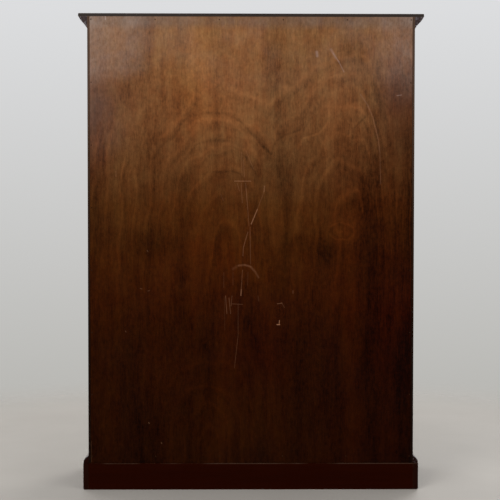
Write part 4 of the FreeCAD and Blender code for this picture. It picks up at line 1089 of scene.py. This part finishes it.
class Metalwork:
    """Collects screw heads, pins and caps that go on one body, as one mesh."""

    def __init__(self):
        self.mesh = bmesh.new()

    def ring(self, turn, points, height):
        return [self.mesh.verts.new(turn @ Vector((x, y, height))) for x, y in points]

    def stack(self, turn, rings, material=0):
        """Walls between rings of points at rising heights, closed by the last ring."""
        rows = [self.ring(turn, points, height) for points, height in rings]
        for low, high in zip(rows, rows[1:]):
            for k in range(len(low)):
                after = (k + 1) % len(low)
                face = self.mesh.faces.new((low[k], low[after], high[after], high[k]))
                face.material_index = material
        self.mesh.faces.new(rows[-1]).material_index = material

    def frame_at(self, place, outward, angle):
        """A transform whose z axis points outward and whose x axis is the slot's line."""
        turn = Vector(outward).to_track_quat("Z", "Y").to_matrix().to_4x4()
        return Matrix.Translation(Vector(place)) @ turn @ Matrix.Rotation(math.radians(angle), 4, "Z")

    def screw(self, place, outward, size, angle):
        """A slotted head, flush or a little raised, with dirt in its slot."""
        radius, proud = size
        half_slot = radius * SLOT_HALF
        for side in (0, 180):
            turn = self.frame_at(place, outward, angle + side)
            rings = []
            for share, height in ((1.0, -SUNK), (1.0, proud * SIDE_SHARE), (CROWN, proud)):
                reach = radius * share
                start = math.asin(half_slot / reach)
                step = (math.pi - 2 * start) / HEAD_STEPS
                sweep = [start + step * k for k in range(HEAD_STEPS + 1)]
                rings.append(([(reach * math.cos(a), reach * math.sin(a)) for a in sweep], height))
            self.stack(turn, rings)
        turn = self.frame_at(place, outward, angle)
        reach = radius * SLOT_REACH
        floor = [(-reach, -half_slot), (reach, -half_slot), (reach, half_slot), (-reach, half_slot)]
        self.stack(turn, [(floor, -SUNK), (floor, proud * SLOT_FLOOR)], material=1)

    def dome(self, place, outward, size, sides=20):
        """A round pin head or cap."""
        radius, proud = size
        rings = [(circle(radius, sides), -SUNK)]
        for step in range(1, DOME_STEPS):
            angle = math.pi / 2 * step / DOME_STEPS
            rings.append((circle(radius * math.cos(angle), sides), proud * math.sin(angle)))
        self.stack(self.frame_at(place, outward, 0), rings)

    def finish(self, name, body, materials, slot):
        data = bpy.data.meshes.new(name)
        self.mesh.normal_update()
        self.mesh.to_mesh(data)
        self.mesh.free()
        for material in materials:
            data.materials.append(material)
        piece = add_object(name, data)
        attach(piece, body)


def slot_angles(count):
    """Screws stop at any angle, so each slot gets one of its own."""
    while True:
        yield (count * 67 + 23) % 180
        count += 1


def spread(low, high, count):
    """The middles of equal parts of a length."""
    return [low + (high - low) * (k + 0.5) / count for k in range(count)]


# Hinges: the middles of their heights, the leaves' screws up and in, and the faces they are in
HINGE_LEVELS = (0.245, 1.273)
LEAF_SCREWS = ((-0.02, -0.1478), (0.0, -0.1436), (0.02, -0.1478))
FRAME_LEAF_FACE = 0.4662
DOOR_LEAF_FACE = 0.4658
PIN_PLACE = (0.466, -0.1565)
PIN_END = 0.03

# Distances of screws and pins from their plates' edges or middle lines
PLATE_INSET = 5 * MM
PLATE_REACH = 9.4 * MM
KEEPER_REACH = 8.6 * MM
LOCK_INSET = 4 * MM
ESCUTCHEON_INSET = 3.6 * MM
BEAD_INSET = 4 * MM

BOLT_PLATE_FACE = -0.131
SIDE_PINS = 9
END_PINS = 3

# Shelf bearers: their inner faces, how far the screws are under the shelf, and where along
BEARER_FACE = 0.476
BEARER_DROP = 4 * MM
BEARER_PLACES = (-0.07, 0.03, 0.13)

# Heads: radius, and how far they stand proud
LEAF_SCREW = (2.6 * MM, 0.08 * MM)
BUTTON = (3.3 * MM, 2.2 * MM)
PLATE_SCREW = (1.8 * MM, 0.7 * MM)
KEEPER_SCREW = (1.8 * MM, 0.1 * MM)
LOCK_SCREW = (1.7 * MM, 0.1 * MM)
ESCUTCHEON_PIN = (1.1 * MM, 0.5 * MM)
BEAD_PIN = (0.8 * MM, 0.2 * MM)
BEARER_SCREW = (2.6 * MM, 0.1 * MM)


def hinge_hardware(materials):
    """Three screws in each leaf, and a button on both ends of each pin."""
    frames = Metalwork()
    doors = {"left_door": Metalwork(), "right_door": Metalwork()}
    frame_angles = slot_angles(0)
    door_angles = slot_angles(5)
    pin_x, pin_y = PIN_PLACE
    for side, body in ((-1, "left_door"), (1, "right_door")):
        for level in HINGE_LEVELS:
            for rise, y in LEAF_SCREWS:
                z = level + rise
                place = (side * FRAME_LEAF_FACE, y, z)
                frames.screw(place, (-side, 0, 0), LEAF_SCREW, next(frame_angles))
                place = (side * DOOR_LEAF_FACE, y, z)
                doors[body].screw(place, (side, 0, 0), LEAF_SCREW, next(door_angles))
            for end in (-1, 1):
                frames.dome((side * pin_x, pin_y, level + end * PIN_END), (0, 0, end), BUTTON)
    frames.finish("hinge_screws_frame", "carcass", materials, "brass")
    for body, work in doors.items():
        work.finish("hinge_screws_" + body, body, materials, "brass")


def bolt_hardware(materials):
    """Round-headed screws beside the staples, and flat ones in the keepers."""
    plates = Metalwork()
    keepers = Metalwork()
    angles = slot_angles(3)
    for name, inwards in (("upper", -1), ("lower", 1)):
        low, high = box_of(name + "_bolt_plate")
        middle = (low.x + high.x) / 2
        for z in (low.z + PLATE_INSET, high.z - PLATE_INSET):
            for reach in (-PLATE_REACH, PLATE_REACH):
                place = (middle + reach, BOLT_PLATE_FACE, z)
                plates.screw(place, (0, 1, 0), PLATE_SCREW, next(angles))
        low, high = box_of(name + "_keeper")
        level = low.z if inwards < 0 else high.z
        for reach in (-KEEPER_REACH, KEEPER_REACH):
            place = (middle + reach, (low.y + high.y) / 2, level)
            keepers.screw(place, (0, 0, inwards), KEEPER_SCREW, next(angles))
    plates.finish("bolt_plate_screws", "left_door", materials, "brass")
    keepers.finish("keeper_screws", "carcass", materials, "brass")


def lock_hardware(materials):
    """Four screws in the back of the lock and two pins in the escutcheon."""
    work = Metalwork()
    angles = slot_angles(7)
    low, high = box_of("lock_case")
    for x in (low.x + LOCK_INSET, high.x - LOCK_INSET):
        for z in (low.z + LOCK_INSET, high.z - LOCK_INSET):
            work.screw((x, high.y, z), (0, 1, 0), LOCK_SCREW, next(angles))
    low, high = box_of("escutcheon")
    middle = (low.x + high.x) / 2
    for z in (low.z + ESCUTCHEON_INSET, high.z - ESCUTCHEON_INSET):
        work.dome((middle, low.y, z), (0, -1, 0), ESCUTCHEON_PIN, sides=12)
    work.finish("lock_screws", "right_door", materials, "brass")


def bead_pins(materials):
    """Small pins that hold the glazing beads."""
    for side in ("left", "right"):
        work = Metalwork()
        low, high = box_of(side + "_glazing_beads")
        columns = (low.x + BEAD_INSET, high.x - BEAD_INSET)
        rows = (low.z + BEAD_INSET, high.z - BEAD_INSET)
        places = [(x, z) for x in columns for z in spread(low.z, high.z, SIDE_PINS)]
        places += [(x, z) for z in rows for x in spread(low.x, high.x, END_PINS)]
        for x, z in places:
            work.dome((x, high.y, z), (0, 1, 0), BEAD_PIN, sides=8)
        work.finish("bead_pins_" + side, side + "_door", materials, "steel")


def bearer_screws(materials):
    """Three countersunk screws in each shelf bearer."""
    work = Metalwork()
    angles = slot_angles(1)
    for shelf in ("shelf_lower", "shelf_middle", "shelf_upper"):
        level = box_of(shelf)[0].z - BEARER_DROP
        for side in (-1, 1):
            for y in BEARER_PLACES:
                place = (side * BEARER_FACE, y, level)
                work.screw(place, (-side, 0, 0), BEARER_SCREW, next(angles))
    work.finish("bearer_screws", "carcass", materials, "steel")


brass, steel = dress_nodes()
grime = metal("slot_grime", linear(40, 28, 18), linear(20, 13, 8), rough=0.6)
hinge_hardware((brass, grime))
bolt_hardware((brass, grime))
lock_hardware((brass, grime))
bead_pins((steel,))
bearer_screws((steel, grime))
make_world()
make_floor()
make_lights()
make_camera()
bpy.context.scene.view_settings.view_transform = "Standard"

bpy.context.view_layer.update()
